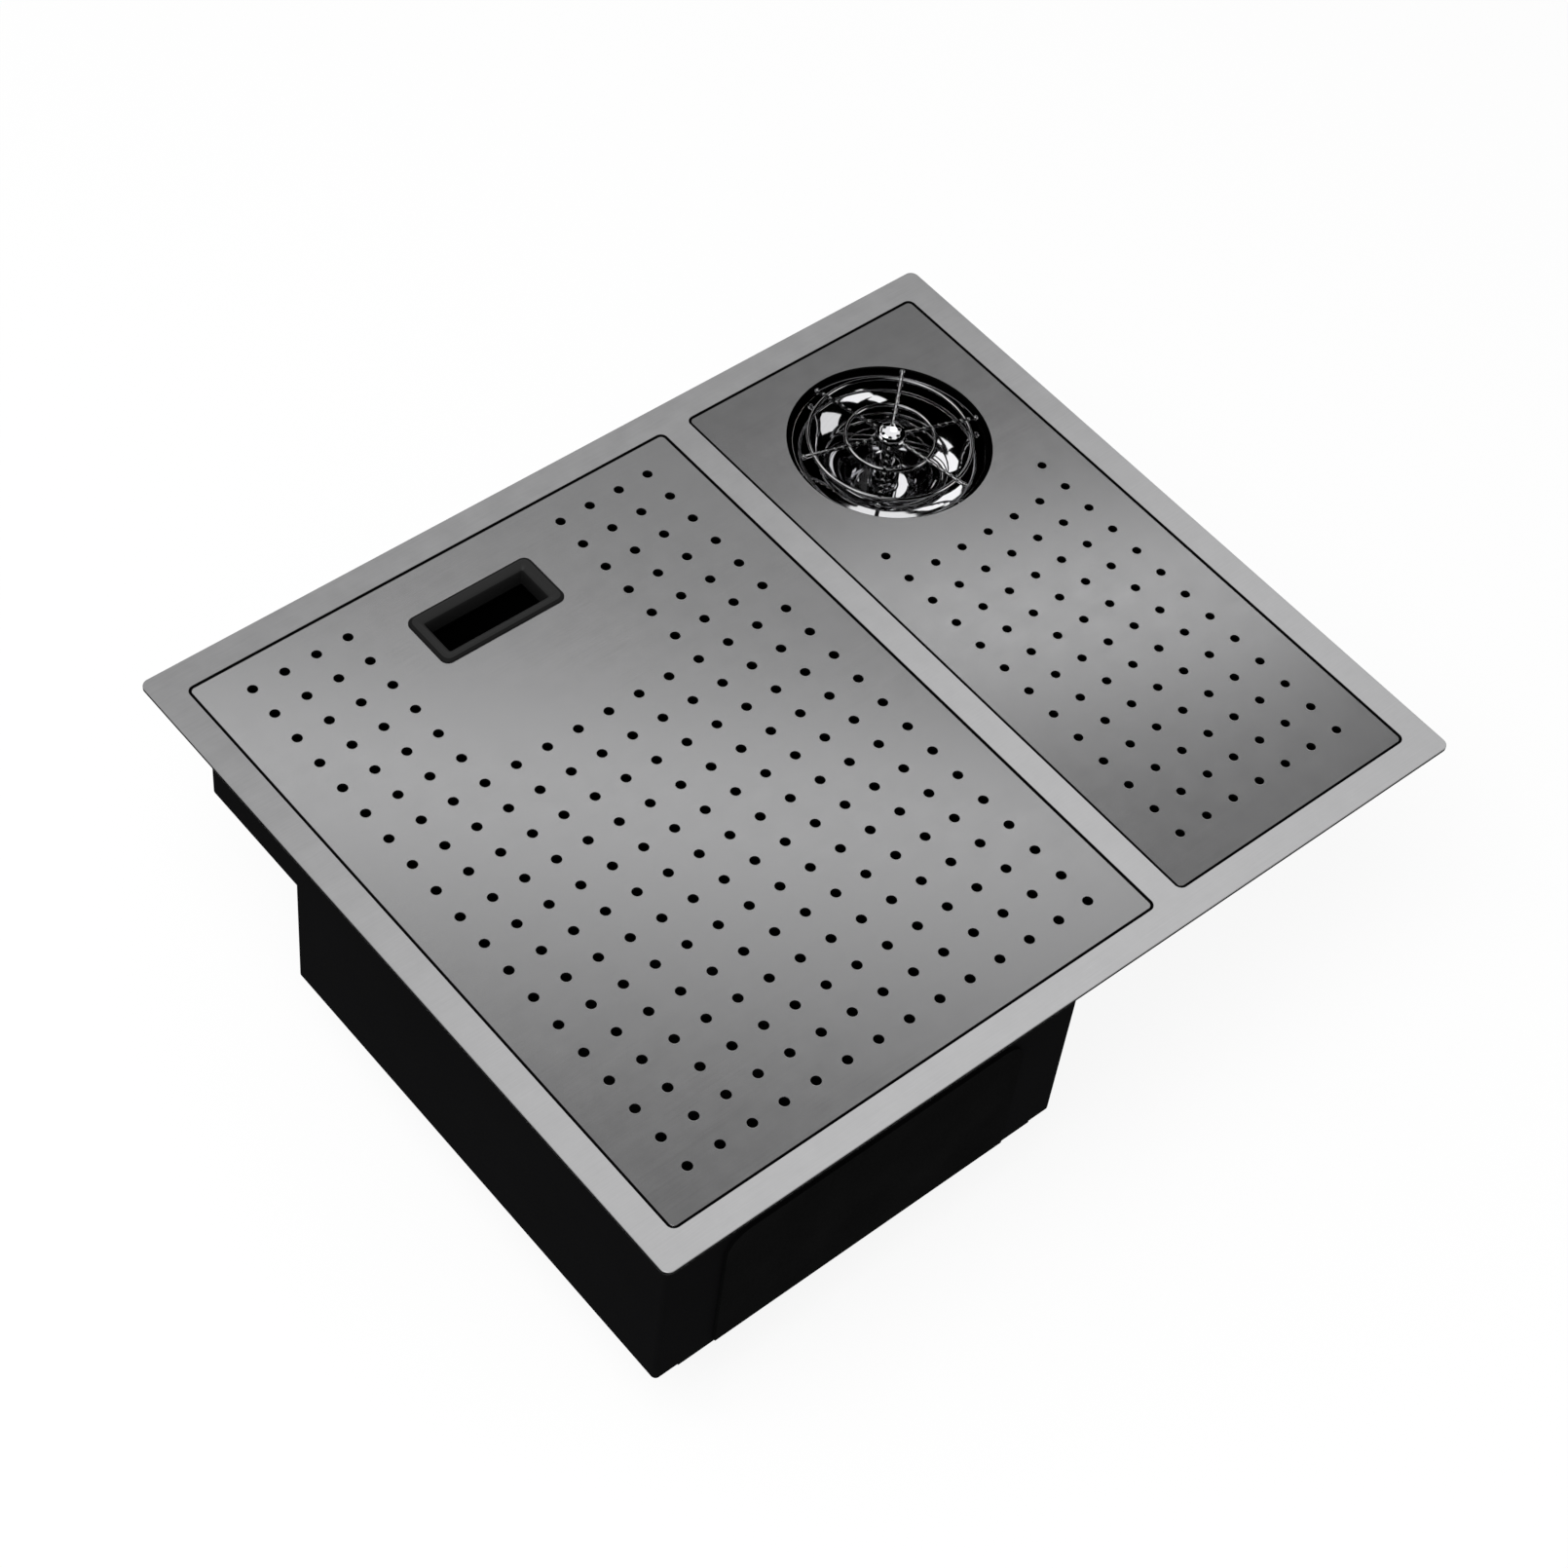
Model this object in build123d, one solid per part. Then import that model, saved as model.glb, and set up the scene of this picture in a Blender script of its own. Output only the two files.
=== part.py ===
from build123d import *
import math
import os

# Workstation sink: brushed rim plate, black body, two perforated covers, glass rinser, waste and overflow.
# Millimetres. The origin is the middle of the rim's top face, +X right, +Y to the back, +Z up.

# Rim plate
RIM_LENGTH = 550.0
RIM_WIDTH = 450.0
RIM_THICK = 2.0
RIM_CORNER = 5.0
RIM_EDGE_ROUND = 0.4
BORDER = 17.5  # from the rim's edge to each opening
DIVIDER = 17.0  # bar between the two openings
SIDE_OPENING = 172.4  # length of the right-hand opening
OPENING_CORNER = 4.5
SEAM = 1.5  # open seam round each cover
CUT = 1.0  # every cutter runs this far past the faces that it opens

# Body sheet
SHEET = 1.2
WALL_INSET = 25.0  # from the rim's edge to the body's outer walls
WALL_CORNER = 3.0
FLANGE = 10.0  # part of the body welded flat under the rim
STEP_SETBACK = 0.5  # the seat's step stands this far behind the opening's edge
BOWL_LENGTH = 282.0
BOWL_DEPTH = 170.0
LEDGE_DEPTH = 85.0  # to the underside of the tap ledge behind the bowl
LEDGE_RUN = 79.0
TRAY_DEPTH = 43.2  # to the underside of the shallow tray
FLOOR_FALL = 4.0
FLOOR_BORDER = 6.0  # flat strip round the sloping floor
DRAIN_SEAT = 126.0  # flat square round the waste
TAP_HOLE = 35.0
TAP_FROM_LEFT = 245.0

# Covers
COVER_SHEET = 1.5
COVER_HEM = 6.0  # height of the turned-down edge
COVER_DROP = 0.3  # the covers lie this far below the rim's top
CUSHION_THICK = 1.0
CUSHION_WIDTH = 7.0
CUSHION_LENGTH = 40.0
CUSHION_PLACE_Y = 0.6  # share of half the opening's width
CUSHION_PLACE_X = 0.28  # share of the opening's length, from its middle
MAIN_HOLE = 6.0
MAIN_COLUMNS = 14
MAIN_ROWS = 19
MAIN_MARGIN_X = 26.7
MAIN_MARGIN_Y = 21.0
MAIN_SHIFT_X = 0.8  # the grid stands this far right of the middle
MAIN_SHIFT_Y = 1.9
SIDE_BLOCK_COLUMNS = 4  # columns on each side of the plain area
FRONT_BLOCK_ROWS = 13  # rows in front of the plain area
PLAIN_LENGTH = 145.0  # between the holes on both sides of the finger opening
PLAIN_WIDTH = 142.3  # from the cover's rear edge to the row in front of the finger opening
SIDE_HOLE = 5.5
SIDE_COLUMNS = 7
SIDE_ROWS = 12
SIDE_MARGIN_X = 24.8
SIDE_MARGIN_FRONT = 26.1
RINSER_ROW_GAP = 65.9  # rinser's centre to the single hole at each end of the next row
RINSER_PLAIN = 85.9  # rinser's centre to the last full row of holes

# Finger opening in the large cover
PULL_FROM_LEFT = 181.0
PULL_FROM_BACK = 66.0
PULL_LENGTH = 83.0
PULL_WIDTH = 38.0
PULL_CORNER = 5.0
PULL_BORDER_X = 8.5
PULL_BORDER_Y = 7.5
PULL_RISE = 1.7
PULL_BEVEL = 0.8
PULL_SKIRT_WALL = 3.0
PULL_SKIRT_DEPTH = 11.0
PULL_FINGER_ROUND = 2.0
PULL_BARB = 0.8
PULL_FIT = 0.1

# Rinser
RINSER_FROM_RIGHT = 103.5
RINSER_FROM_BACK = 98.5
RINSER_CUTOUT = 120.0
DISH_RADIUS = 57.5
DISH_LIP_DEPTH = 4.5
DISH_SHEET = 1.2
DISH_HOLE = 11.0
DISH_FLAT_MARGIN = 1.0  # level floor outside the valve's flange
DISH_SHOULDER = 28.0  # radius where the steep middle and the flat flare would meet
DISH_SHOULDER_DROP = 5.0
DISH_FLAT_ROUND = 1.5
DISH_FLARE_ROUND = 46.0
DISH_LIP_FLAT = 1.5
DISH_LIP_ROUND = 2.0
DISH_SLOTS = 8
DISH_SLOT_RADIUS = 21.0
DISH_SLOT_WIDTH = 4.0
DISH_SLOT_LENGTH = 10.0
GASKET_THICK = 2.0
GASKET_RADIUS = 17.5
VALVE_FLANGE_RADIUS = 15.0
VALVE_FLANGE_THICK = 3.0
VALVE_NECK_RADIUS = 8.6
VALVE_NECK_HEIGHT = 20.0
VALVE_CHAMFER = 1.0
SHANK_RADIUS = 10.48
SHANK_LENGTH = 41.0
STEM_RADIUS = 4.25
STEM_BORE = 2.0
STEM_FIT = 0.05
STEM_BORE_END = 1.0  # above the valve seat
SEAT_BELOW_FLANGE = 12.0
GALLERY_RADIUS = 6.2
GALLERY_LENGTH = 8.0
CHAMBER_RADIUS = 8.2
POPPET_RADIUS = 7.0
POPPET_THICK = 2.5
POPPET_SEAL_THICK = 1.8
POPPET_SEAL_LAP = 0.2
POPPET_GAP = 0.1
PORT_RADIUS = 1.2
NECK_RING_WIRE = 0.8
NECK_RING_DEPTH = 4.0
PRESS_TRAVEL = 4.0
SPRING_WIRE = 1.0
SPRING_RADIUS = 6.2
SPRING_TURNS = 5
SPRING_FIT = 0.05
SHANK_HOLE = 24.0
WASHER_THICK = 2.0
INLET_WASHER_THICK = 1.0
PLATE_WASHER_THICK = 1.2
WASHER_RADIUS = 23.0
NUT_FLATS = 30.0
NUT_HEIGHT = 8.0
NIPPLE_PLUG_LENGTH = 10.0
NIPPLE_PLUG_FIT = 0.05
NIPPLE_FLATS = 27.0
NIPPLE_HEX = 7.0
NIPPLE_THREAD_RADIUS = 10.48
NIPPLE_THREAD_LENGTH = 14.0
NIPPLE_BORE = 5.0

# Spray star
STAR_ARMS = 6
STAR_FIRST_ANGLE = 41.5
STAR_TIP_RADIUS = 55.5
STAR_BALL = 1.7
ARM_WIDTH = 2.4
ARM_HEIGHT = 2.6
ARM_TOP_AT_HUB = 5.2  # heights above the rim's top
ARM_TOP_AT_TIP = 3.6
RING_WIRE = 1.2
OUTER_RING = 47.7
INNER_RING = 26.0
HUB_RADIUS = 9.0
HUB_HEIGHT = 5.0
HUB_RISE = 0.3  # above the arms' tops
CAP_RADIUS = 8.5
CAP_TOP = 7.6
CAP_LEAN = 0.7
CAP_ROUND = 2.0
CAP_ROUND_DROP = 0.8
CAP_JETS = 6
CAP_JET_RADIUS = 0.8
CAP_JET_CIRCLE = 5.0

# Waste
DRAIN_HOLE = 90.0
CUP_FLANGE_RADIUS = 56.0
CUP_RADIUS = 42.5
CUP_SHEET = 1.0
CUP_DEPTH = 41.0
CUP_EDGE = 1.0
CUP_HOLES = 8
CUP_HOLE = 10.0
CUP_HOLE_CIRCLE = 24.0
TOP_SEAL_THICK = 0.6
UNDER_SEAL_THICK = 3.0
UNDER_SEAL_CLEAR = 2.0
SEAL_INSET = 1.0
HOUSING_FLANGE_RADIUS = 58.0
HOUSING_FLANGE_THICK = 4.0
HOUSING_RADIUS = 47.5
HOUSING_WALL = 3.0
HOUSING_DEPTH = 46.0
OUTLET_RADIUS = 23.9
OUTLET_WALL = 3.9
OUTLET_LENGTH = 27.0
BOSS_RADIUS = 7.0
RIB_COUNT = 3
RIB_FIRST_ANGLE = 60.0
RIB_THICK = 3.0
RIB_HEIGHT = 8.0
SCREW_RADIUS = 3.0
SCREW_HEAD_RADIUS = 6.0
SCREW_HEAD_HEIGHT = 1.4
SCREW_SLOT = 1.2
SCREW_GRIP = 10.0
SCREW_FIT = 0.1
BASKET_TOP_RADIUS = 40.5
BASKET_BOTTOM_RADIUS = 36.0
BASKET_SHEET = 1.0
BASKET_BELOW_FLANGE = 3.0
BASKET_LIP = 1.2
BASKET_SEAL_THICK = 2.0
BASKET_SEAL_WIDTH = 5.0
BASKET_HOLE = 5.0
BASKET_WALL_HOLES = 12
BASKET_WALL_LEVELS = (0.35, 0.65)  # shares of the basket's height
BASKET_FLOOR_RINGS = ((0.4, 6), (0.7, 12))  # share of the floor's radius, holes
KNOB_STEM = 3.5
KNOB_RADIUS = 11.0
KNOB_THICK = 4.0
KNOB_CHAMFER = 1.0
KNOB_BELOW_FLANGE = 5.0

# Overflow
OVERFLOW_DEPTH = 78.0
OVERFLOW_HOLE = 13.0
GRILLE_RADIUS = 19.0
GRILLE_THICK = 1.2
GRILLE_SLOTS = 6
GRILLE_SLOT = 3.2
GRILLE_SLOT_INSET = 1.0
OVERFLOW_SEAL_THICK = 2.0
OVERFLOW_SEAL_CLEAR = 1.0
ELBOW_FLANGE = 20.0
ELBOW_FLANGE_THICK = 2.5
ELBOW_RADIUS = 16.0
ELBOW_WALL = 2.5
ELBOW_LENGTH = 24.0
SPIGOT_RADIUS = 10.0
SPIGOT_WALL = 2.0
SPIGOT_DROP = 30.0
OVERFLOW_SCREW = 2.5
OVERFLOW_SCREW_HEAD = 4.5
OVERFLOW_SCREW_HEAD_HEIGHT = 2.2
OVERFLOW_SCREW_SLOT = 1.0
OVERFLOW_BORE_END = 2.0  # solid end of the screw boss
OVERFLOW_BOSS = 5.0
PIPE_WALL = 1.9
PIPE_FIT = 0.1
PIPE_LAP = 14.0
PIPE_BEND = 35.0
SIDE_SPIGOT_LENGTH = 20.0
SIDE_SPIGOT_RISE = 23.0  # side spigot's axis above the housing's floor

# Damping pads
FRONT_PAD_THICK = 2.0
FRONT_PAD_SIDE = 39.0
FRONT_PAD_TOP = 66.0
FRONT_PAD_CORNER = 15.0
FRONT_PAD_BOTTOM_GAP = 2.0
FLOOR_PAD_THICK = 1.5
FLOOR_PAD_SIDE = 16.0
FLOOR_PAD_CLEAR = 4.0
REAR_PAD_THICK = 2.0
REAR_PAD_SIDE = 45.0
REAR_PAD_EDGE = 10.0

# Places worked out from the sizes above
OPEN_Y = RIM_WIDTH / 2 - BORDER
MAIN_X0 = -RIM_LENGTH / 2 + BORDER
SIDE_X1 = RIM_LENGTH / 2 - BORDER
SIDE_X0 = SIDE_X1 - SIDE_OPENING
MAIN_X1 = SIDE_X0 - DIVIDER
COVER_Y = OPEN_Y - SEAM
COVER_CORNER = OPENING_CORNER - SEAM
SEAT_Z = -(COVER_DROP + COVER_HEM + CUSHION_THICK)
SEAT_UNDER_Z = SEAT_Z - SHEET
WALL_X = RIM_LENGTH / 2 - WALL_INSET
WALL_Y = RIM_WIDTH / 2 - WALL_INSET
BOWL_X1 = -WALL_X + BOWL_LENGTH
BOWL_Y1 = WALL_Y - LEDGE_RUN
TRAY_Z = -TRAY_DEPTH + SHEET
DRAIN_X = (-WALL_X + BOWL_X1) / 2
DRAIN_Y = (-WALL_Y + BOWL_Y1) / 2
DRAIN_UNDER_Z = -(BOWL_DEPTH + FLOOR_FALL)
DRAIN_TOP_Z = DRAIN_UNDER_Z + SHEET
RINSER_X = RIM_LENGTH / 2 - RINSER_FROM_RIGHT
RINSER_Y = RIM_WIDTH / 2 - RINSER_FROM_BACK
PULL_X = -RIM_LENGTH / 2 + PULL_FROM_LEFT
PULL_Y = RIM_WIDTH / 2 - PULL_FROM_BACK
TAP_X = -RIM_LENGTH / 2 + TAP_FROM_LEFT
TAP_Y = BOWL_Y1 + LEDGE_RUN / 2
DISH_BOTTOM_Z = TRAY_Z + GASKET_THICK
DISH_FLOOR_Z = DISH_BOTTOM_Z + DISH_SHEET
VALVE_TOP_Z = DISH_FLOOR_Z + VALVE_FLANGE_THICK + VALVE_NECK_HEIGHT
VALVE_SEAT_Z = DISH_FLOOR_Z - SEAT_BELOW_FLANGE
SHANK_END_Z = DISH_FLOOR_Z - SHANK_LENGTH
SEAL_TOP_Z = VALVE_SEAT_Z - POPPET_GAP
POPPET_TOP_Z = SEAL_TOP_Z - POPPET_SEAL_THICK
POPPET_END_Z = POPPET_TOP_Z - POPPET_THICK
SPRING_FOOT_Z = SHANK_END_Z + NIPPLE_PLUG_LENGTH
HUB_TOP_Z = ARM_TOP_AT_HUB + HUB_RISE
CUP_FLANGE_Z = DRAIN_TOP_Z + TOP_SEAL_THICK
CUP_FLOOR_Z = CUP_FLANGE_Z + CUP_SHEET - CUP_DEPTH
BASKET_SEAL_Z = CUP_FLOOR_Z + CUP_SHEET
BASKET_UNDER_Z = BASKET_SEAL_Z + BASKET_SEAL_THICK
BASKET_TOP_Z = CUP_FLANGE_Z + CUP_SHEET - BASKET_BELOW_FLANGE
HOUSING_TOP_Z = DRAIN_UNDER_Z - UNDER_SEAL_THICK
HOUSING_FLOOR_Z = HOUSING_TOP_Z - HOUSING_DEPTH
SPIGOT_Z = HOUSING_FLOOR_Z + SIDE_SPIGOT_RISE
OVERFLOW_Z = -OVERFLOW_DEPTH
ELBOW_X0 = BOWL_X1 + OVERFLOW_SEAL_THICK
SPIGOT_X = ELBOW_X0 + ELBOW_LENGTH / 2


def slab(x0, x1, y0, y1, z0, z1):
    """Box between two corners."""
    centre = Pos((x0 + x1) / 2, (y0 + y1) / 2, (z0 + z1) / 2)
    return centre * Box(x1 - x0, y1 - y0, z1 - z0)


def rounded_slab(x0, x1, y0, y1, z0, z1, corner):
    """Box between two corners with its upright edges rounded."""
    outline = Pos((x0 + x1) / 2, (y0 + y1) / 2, z0) * RectangleRounded(x1 - x0, y1 - y0, corner)
    return extrude(outline, amount=z1 - z0, dir=(0, 0, 1))


def rod(radius, z0, z1, x=0.0, y=0.0):
    """Upright round bar."""
    return Pos(x, y, (z0 + z1) / 2) * Cylinder(radius, z1 - z0)


def ring(outer, inner, z0, z1, x=0.0, y=0.0):
    """Upright round sleeve."""
    return rod(outer, z0, z1, x, y) - rod(inner, z0 - CUT, z1 + CUT, x, y)


def cross_rod(radius, x0, x1, y, z):
    """Round bar along X."""
    return Pos((x0 + x1) / 2, y, z) * Rot(0, 90, 0) * Cylinder(radius, x1 - x0)


def turned(points, x=0.0, y=0.0):
    """Solid of revolution about an upright axis from (radius, height) points."""
    profile = make_face(Polyline(*[(r, 0, z) for r, z in points], close=True))
    return Pos(x, y, 0) * revolve(profile, Axis.Z)


def around(count, radius, x=0.0, y=0.0, first=0.0):
    """Places evenly spread on a circle, each turned to face outwards."""
    turns = [first + 360.0 / count * i for i in range(count)]
    return [Pos(x, y, 0) * Rot(0, 0, turn) * Pos(radius, 0, 0) for turn in turns]


def rim_frame():
    """Brushed plate with both openings and the bar between them."""
    plate = rounded_slab(
        -RIM_LENGTH / 2, RIM_LENGTH / 2, -RIM_WIDTH / 2, RIM_WIDTH / 2, -RIM_THICK, 0, RIM_CORNER
    )
    for x0, x1 in ((MAIN_X0, MAIN_X1), (SIDE_X0, SIDE_X1)):
        plate -= rounded_slab(x0, x1, -OPEN_Y, OPEN_Y, -RIM_THICK - CUT, CUT, OPENING_CORNER)
    top = plate.faces().sort_by(Axis.Z)[-1]
    return fillet(top.outer_wire().edges(), RIM_EDGE_ROUND)


def floor_pan(z):
    """Block below the height z whose underside falls from all four sides to the flat waste seat."""
    length = BOWL_LENGTH - 2 * FLOOR_BORDER
    width = BOWL_Y1 + WALL_Y - 2 * FLOOR_BORDER
    top = Pos(DRAIN_X, DRAIN_Y, z) * Rectangle(length, width)
    bottom = Pos(DRAIN_X, DRAIN_Y, z - FLOOR_FALL) * Rectangle(DRAIN_SEAT, DRAIN_SEAT)
    return loft([top, bottom], ruled=True)


def deep_block(grow, z):
    """Outline of the deep bowl, moved out by grow, from the height z up to the seat, with its floor."""
    x0, x1 = -WALL_X - grow, BOWL_X1 + grow
    block = rounded_slab(x0, x1, -WALL_Y - grow, BOWL_Y1 + grow, z, SEAT_Z, WALL_CORNER + grow)
    return block + floor_pan(z)


def body_form():
    """Whole body as one sheet, before it is parted into its welded pieces."""
    inner_x, inner_y = SIDE_X1 + STEP_SETBACK, OPEN_Y + STEP_SETBACK
    step_corner = OPENING_CORNER + STEP_SETBACK
    step_x, step_y = inner_x + SHEET, inner_y + SHEET
    top = -RIM_THICK
    flange_x, flange_y = step_x + FLANGE, step_y + FLANGE
    outer = rounded_slab(-flange_x, flange_x, -flange_y, flange_y, top - SHEET, top, RIM_CORNER)
    outer += rounded_slab(-step_x, step_x, -step_y, step_y, SEAT_UNDER_Z, top, step_corner + SHEET)
    outer += rounded_slab(-WALL_X, WALL_X, -WALL_Y, WALL_Y, -TRAY_DEPTH, SEAT_Z, WALL_CORNER)
    outer += rounded_slab(-WALL_X, BOWL_X1, -WALL_Y, WALL_Y, -LEDGE_DEPTH, SEAT_Z, WALL_CORNER)
    outer += deep_block(0, -BOWL_DEPTH)
    in_x, in_y, in_corner = WALL_X - SHEET, WALL_Y - SHEET, WALL_CORNER - SHEET
    inner = rounded_slab(-inner_x, inner_x, -inner_y, inner_y, SEAT_Z, CUT, step_corner)
    inner += rounded_slab(-in_x, in_x, -in_y, in_y, TRAY_Z, SEAT_Z, in_corner)
    inner += rounded_slab(-in_x, BOWL_X1 - SHEET, -in_y, in_y, -LEDGE_DEPTH + SHEET, SEAT_Z, in_corner)
    inner += deep_block(-SHEET, -BOWL_DEPTH + SHEET)
    return outer - inner


def seat_frame(form):
    """Folded frame under the rim: bearing flange, step and the seat that carries the covers."""
    return form & slab(-RIM_LENGTH, RIM_LENGTH, -RIM_WIDTH, RIM_WIDTH, SEAT_UNDER_Z, -RIM_THICK)


def bowl_shell(form):
    """Deep bowl with the tap ledge, and its waste, tap and overflow holes."""
    bowl = form & slab(-RIM_LENGTH, BOWL_X1, -RIM_WIDTH, RIM_WIDTH, DRAIN_UNDER_Z - CUT, SEAT_UNDER_Z)
    bowl -= rod(DRAIN_HOLE / 2, DRAIN_UNDER_Z - CUT, DRAIN_TOP_Z + CUT, DRAIN_X, DRAIN_Y)
    bowl -= rod(TAP_HOLE / 2, -LEDGE_DEPTH - CUT, -LEDGE_DEPTH + SHEET + CUT, TAP_X, TAP_Y)
    return bowl - cross_rod(OVERFLOW_HOLE, BOWL_X1 - SHEET - CUT, BOWL_X1 + CUT, DRAIN_Y, OVERFLOW_Z)


def side_tray(form):
    """Shallow tray that drains over its left edge into the bowl."""
    tray = form & slab(BOWL_X1, RIM_LENGTH, -RIM_WIDTH, RIM_WIDTH, DRAIN_UNDER_Z, SEAT_UNDER_Z)
    return tray - rod(SHANK_HOLE / 2, -TRAY_DEPTH - CUT, TRAY_Z + CUT, RINSER_X, RINSER_Y)


def cover_rail():
    """Hat-section rail under the bar, whose feet carry the inner edges of both covers."""
    x0, x1 = MAIN_X1 + STEP_SETBACK, SIDE_X0 - STEP_SETBACK
    long_y, foot_y = OPEN_Y + STEP_SETBACK, WALL_Y - SHEET
    foot = SIDE_X1 + STEP_SETBACK - (WALL_X - SHEET)
    rail = slab(x0, x1, -long_y, long_y, -RIM_THICK - SHEET, -RIM_THICK)
    for inner, outer, out in ((x0, x0 + SHEET, x0 - foot), (x1, x1 - SHEET, x1 + foot)):
        leg = sorted((inner, outer))
        rail += slab(leg[0], leg[1], -long_y, long_y, SEAT_Z, -RIM_THICK)
        base = sorted((outer, out))
        rail += slab(base[0], base[1], -foot_y, foot_y, SEAT_UNDER_Z, SEAT_Z)
    return rail


def cover_blank(x0, x1):
    """Plate with a turned-down edge that drops into the opening from x0 to x1."""
    x0, x1 = x0 + SEAM, x1 - SEAM
    top, under = -COVER_DROP, -COVER_DROP - COVER_HEM
    blank = rounded_slab(x0, x1, -COVER_Y, COVER_Y, under, top, COVER_CORNER)
    face = blank.faces().sort_by(Axis.Z)[-1]
    blank = fillet(face.outer_wire().edges(), RIM_EDGE_ROUND)
    t = COVER_SHEET
    hollow = rounded_slab(
        x0 + t, x1 - t, -COVER_Y + t, COVER_Y - t, under - CUT, top - t, COVER_CORNER - t / 2
    )
    return blank - hollow


def spread(low, high, count):
    """Count values evenly from low to high."""
    return [low + (high - low) * i / (count - 1) for i in range(count)]


def main_hole_places():
    """Grid over the large cover, left out round the finger opening."""
    x0 = MAIN_X0 + SEAM + MAIN_MARGIN_X + MAIN_SHIFT_X
    x1 = MAIN_X1 - SEAM - MAIN_MARGIN_X + MAIN_SHIFT_X
    y0, y1 = -COVER_Y + MAIN_MARGIN_Y + MAIN_SHIFT_Y, COVER_Y - MAIN_MARGIN_Y + MAIN_SHIFT_Y
    plain_x0, plain_x1 = PULL_X - PLAIN_LENGTH / 2, PULL_X + PLAIN_LENGTH / 2
    plain_y = COVER_Y - PLAIN_WIDTH
    outer = spread(x0, plain_x0, SIDE_BLOCK_COLUMNS) + spread(plain_x1, x1, SIDE_BLOCK_COLUMNS)
    middle = spread(plain_x0, plain_x1, MAIN_COLUMNS - 2 * SIDE_BLOCK_COLUMNS + 2)[1:-1]
    front = spread(y0, plain_y, FRONT_BLOCK_ROWS)
    rear = spread(plain_y, y1, MAIN_ROWS - FRONT_BLOCK_ROWS + 1)[1:]
    return [(x, y) for x in outer + middle for y in front] + [(x, y) for x in outer for y in rear]


def side_hole_places():
    """Grid in front of the rinser, with one more hole at each end of its last row."""
    columns = spread(SIDE_X0 + SEAM + SIDE_MARGIN_X, SIDE_X1 - SEAM - SIDE_MARGIN_X, SIDE_COLUMNS)
    rows = spread(-COVER_Y + SIDE_MARGIN_FRONT, RINSER_Y - RINSER_PLAIN, SIDE_ROWS)
    places = [(x, y) for x in columns for y in rows]
    return places + [(x, RINSER_Y - RINSER_ROW_GAP) for x in (columns[0], columns[-1])]


def drill(plate, places, diameter):
    """Drain holes straight through a cover."""
    holes = Sketch() + [Pos(x, y) * Circle(diameter / 2) for x, y in places]
    cutter = Pos(0, 0, -COVER_DROP - COVER_SHEET - CUT) * extrude(holes, amount=COVER_SHEET + 2 * CUT)
    return plate - cutter


def main_cover():
    """Large cover with its finger opening."""
    length = PULL_LENGTH - 2 * PULL_BORDER_X + 2 * PULL_SKIRT_WALL + 2 * PULL_FIT
    width = PULL_WIDTH - 2 * PULL_BORDER_Y + 2 * PULL_SKIRT_WALL + 2 * PULL_FIT
    plate = drill(cover_blank(MAIN_X0, MAIN_X1), main_hole_places(), MAIN_HOLE)
    x0, x1 = PULL_X - length / 2, PULL_X + length / 2
    y0, y1 = PULL_Y - width / 2, PULL_Y + width / 2
    return plate - rounded_slab(x0, x1, y0, y1, -COVER_HEM, CUT, PULL_SKIRT_WALL)


def side_cover():
    """Narrow cover with the round cut-out that lifts off over the rinser."""
    plate = drill(cover_blank(SIDE_X0, SIDE_X1), side_hole_places(), SIDE_HOLE)
    return plate - rod(RINSER_CUTOUT / 2, -COVER_HEM, CUT, RINSER_X, RINSER_Y)


def cushions(x0, x1):
    """Strips on the seat under a cover's turned-down edge, two on each side."""
    low, high = SEAT_Z, SEAT_Z + CUSHION_THICK
    half = CUSHION_LENGTH / 2
    strips = []
    for part in (-1, 1):
        y = part * OPEN_Y * CUSHION_PLACE_Y
        for edge, inner in ((x0, x0 + CUSHION_WIDTH), (x1 - CUSHION_WIDTH, x1)):
            strips.append(slab(edge, inner, y - half, y + half, low, high))
        x = (x0 + x1) / 2 + part * (x1 - x0) * CUSHION_PLACE_X
        for edge, inner in ((-OPEN_Y, -OPEN_Y + CUSHION_WIDTH), (OPEN_Y - CUSHION_WIDTH, OPEN_Y)):
            strips.append(slab(x - half, x + half, edge, inner, low, high))
    return Compound(strips)


def finger_pull_frame():
    """Moulded frame whose skirt snaps into the large cover."""
    top, bead = -COVER_DROP + PULL_RISE, -COVER_DROP - COVER_SHEET - PULL_FIT
    length, width = PULL_LENGTH - 2 * PULL_BORDER_X, PULL_WIDTH - 2 * PULL_BORDER_Y
    frame = rounded_slab(
        -PULL_LENGTH / 2, PULL_LENGTH / 2, -PULL_WIDTH / 2, PULL_WIDTH / 2, -COVER_DROP, top, PULL_CORNER
    )
    frame = chamfer(frame.faces().sort_by(Axis.Z)[-1].outer_wire().edges(), PULL_BEVEL)
    sx, sy = length / 2 + PULL_SKIRT_WALL, width / 2 + PULL_SKIRT_WALL
    frame += rounded_slab(-sx, sx, -sy, sy, -PULL_SKIRT_DEPTH, -COVER_DROP, PULL_SKIRT_WALL)
    for side in (-1, 1):
        y = sorted((side * sy, side * (sy + PULL_BARB)))
        frame += slab(-sx / 2, sx / 2, y[0], y[1], bead - 2 * PULL_BARB, bead)
    frame -= slab(-length / 2, length / 2, -width / 2, width / 2, -PULL_SKIRT_DEPTH - CUT, top + CUT)
    finger_edge = frame.edges().filter_by(Axis.X).sort_by_distance((0, width / 2, top))[0]
    frame = fillet(finger_edge, PULL_FINGER_ROUND)
    return Pos(PULL_X, PULL_Y, 0) * frame


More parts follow.
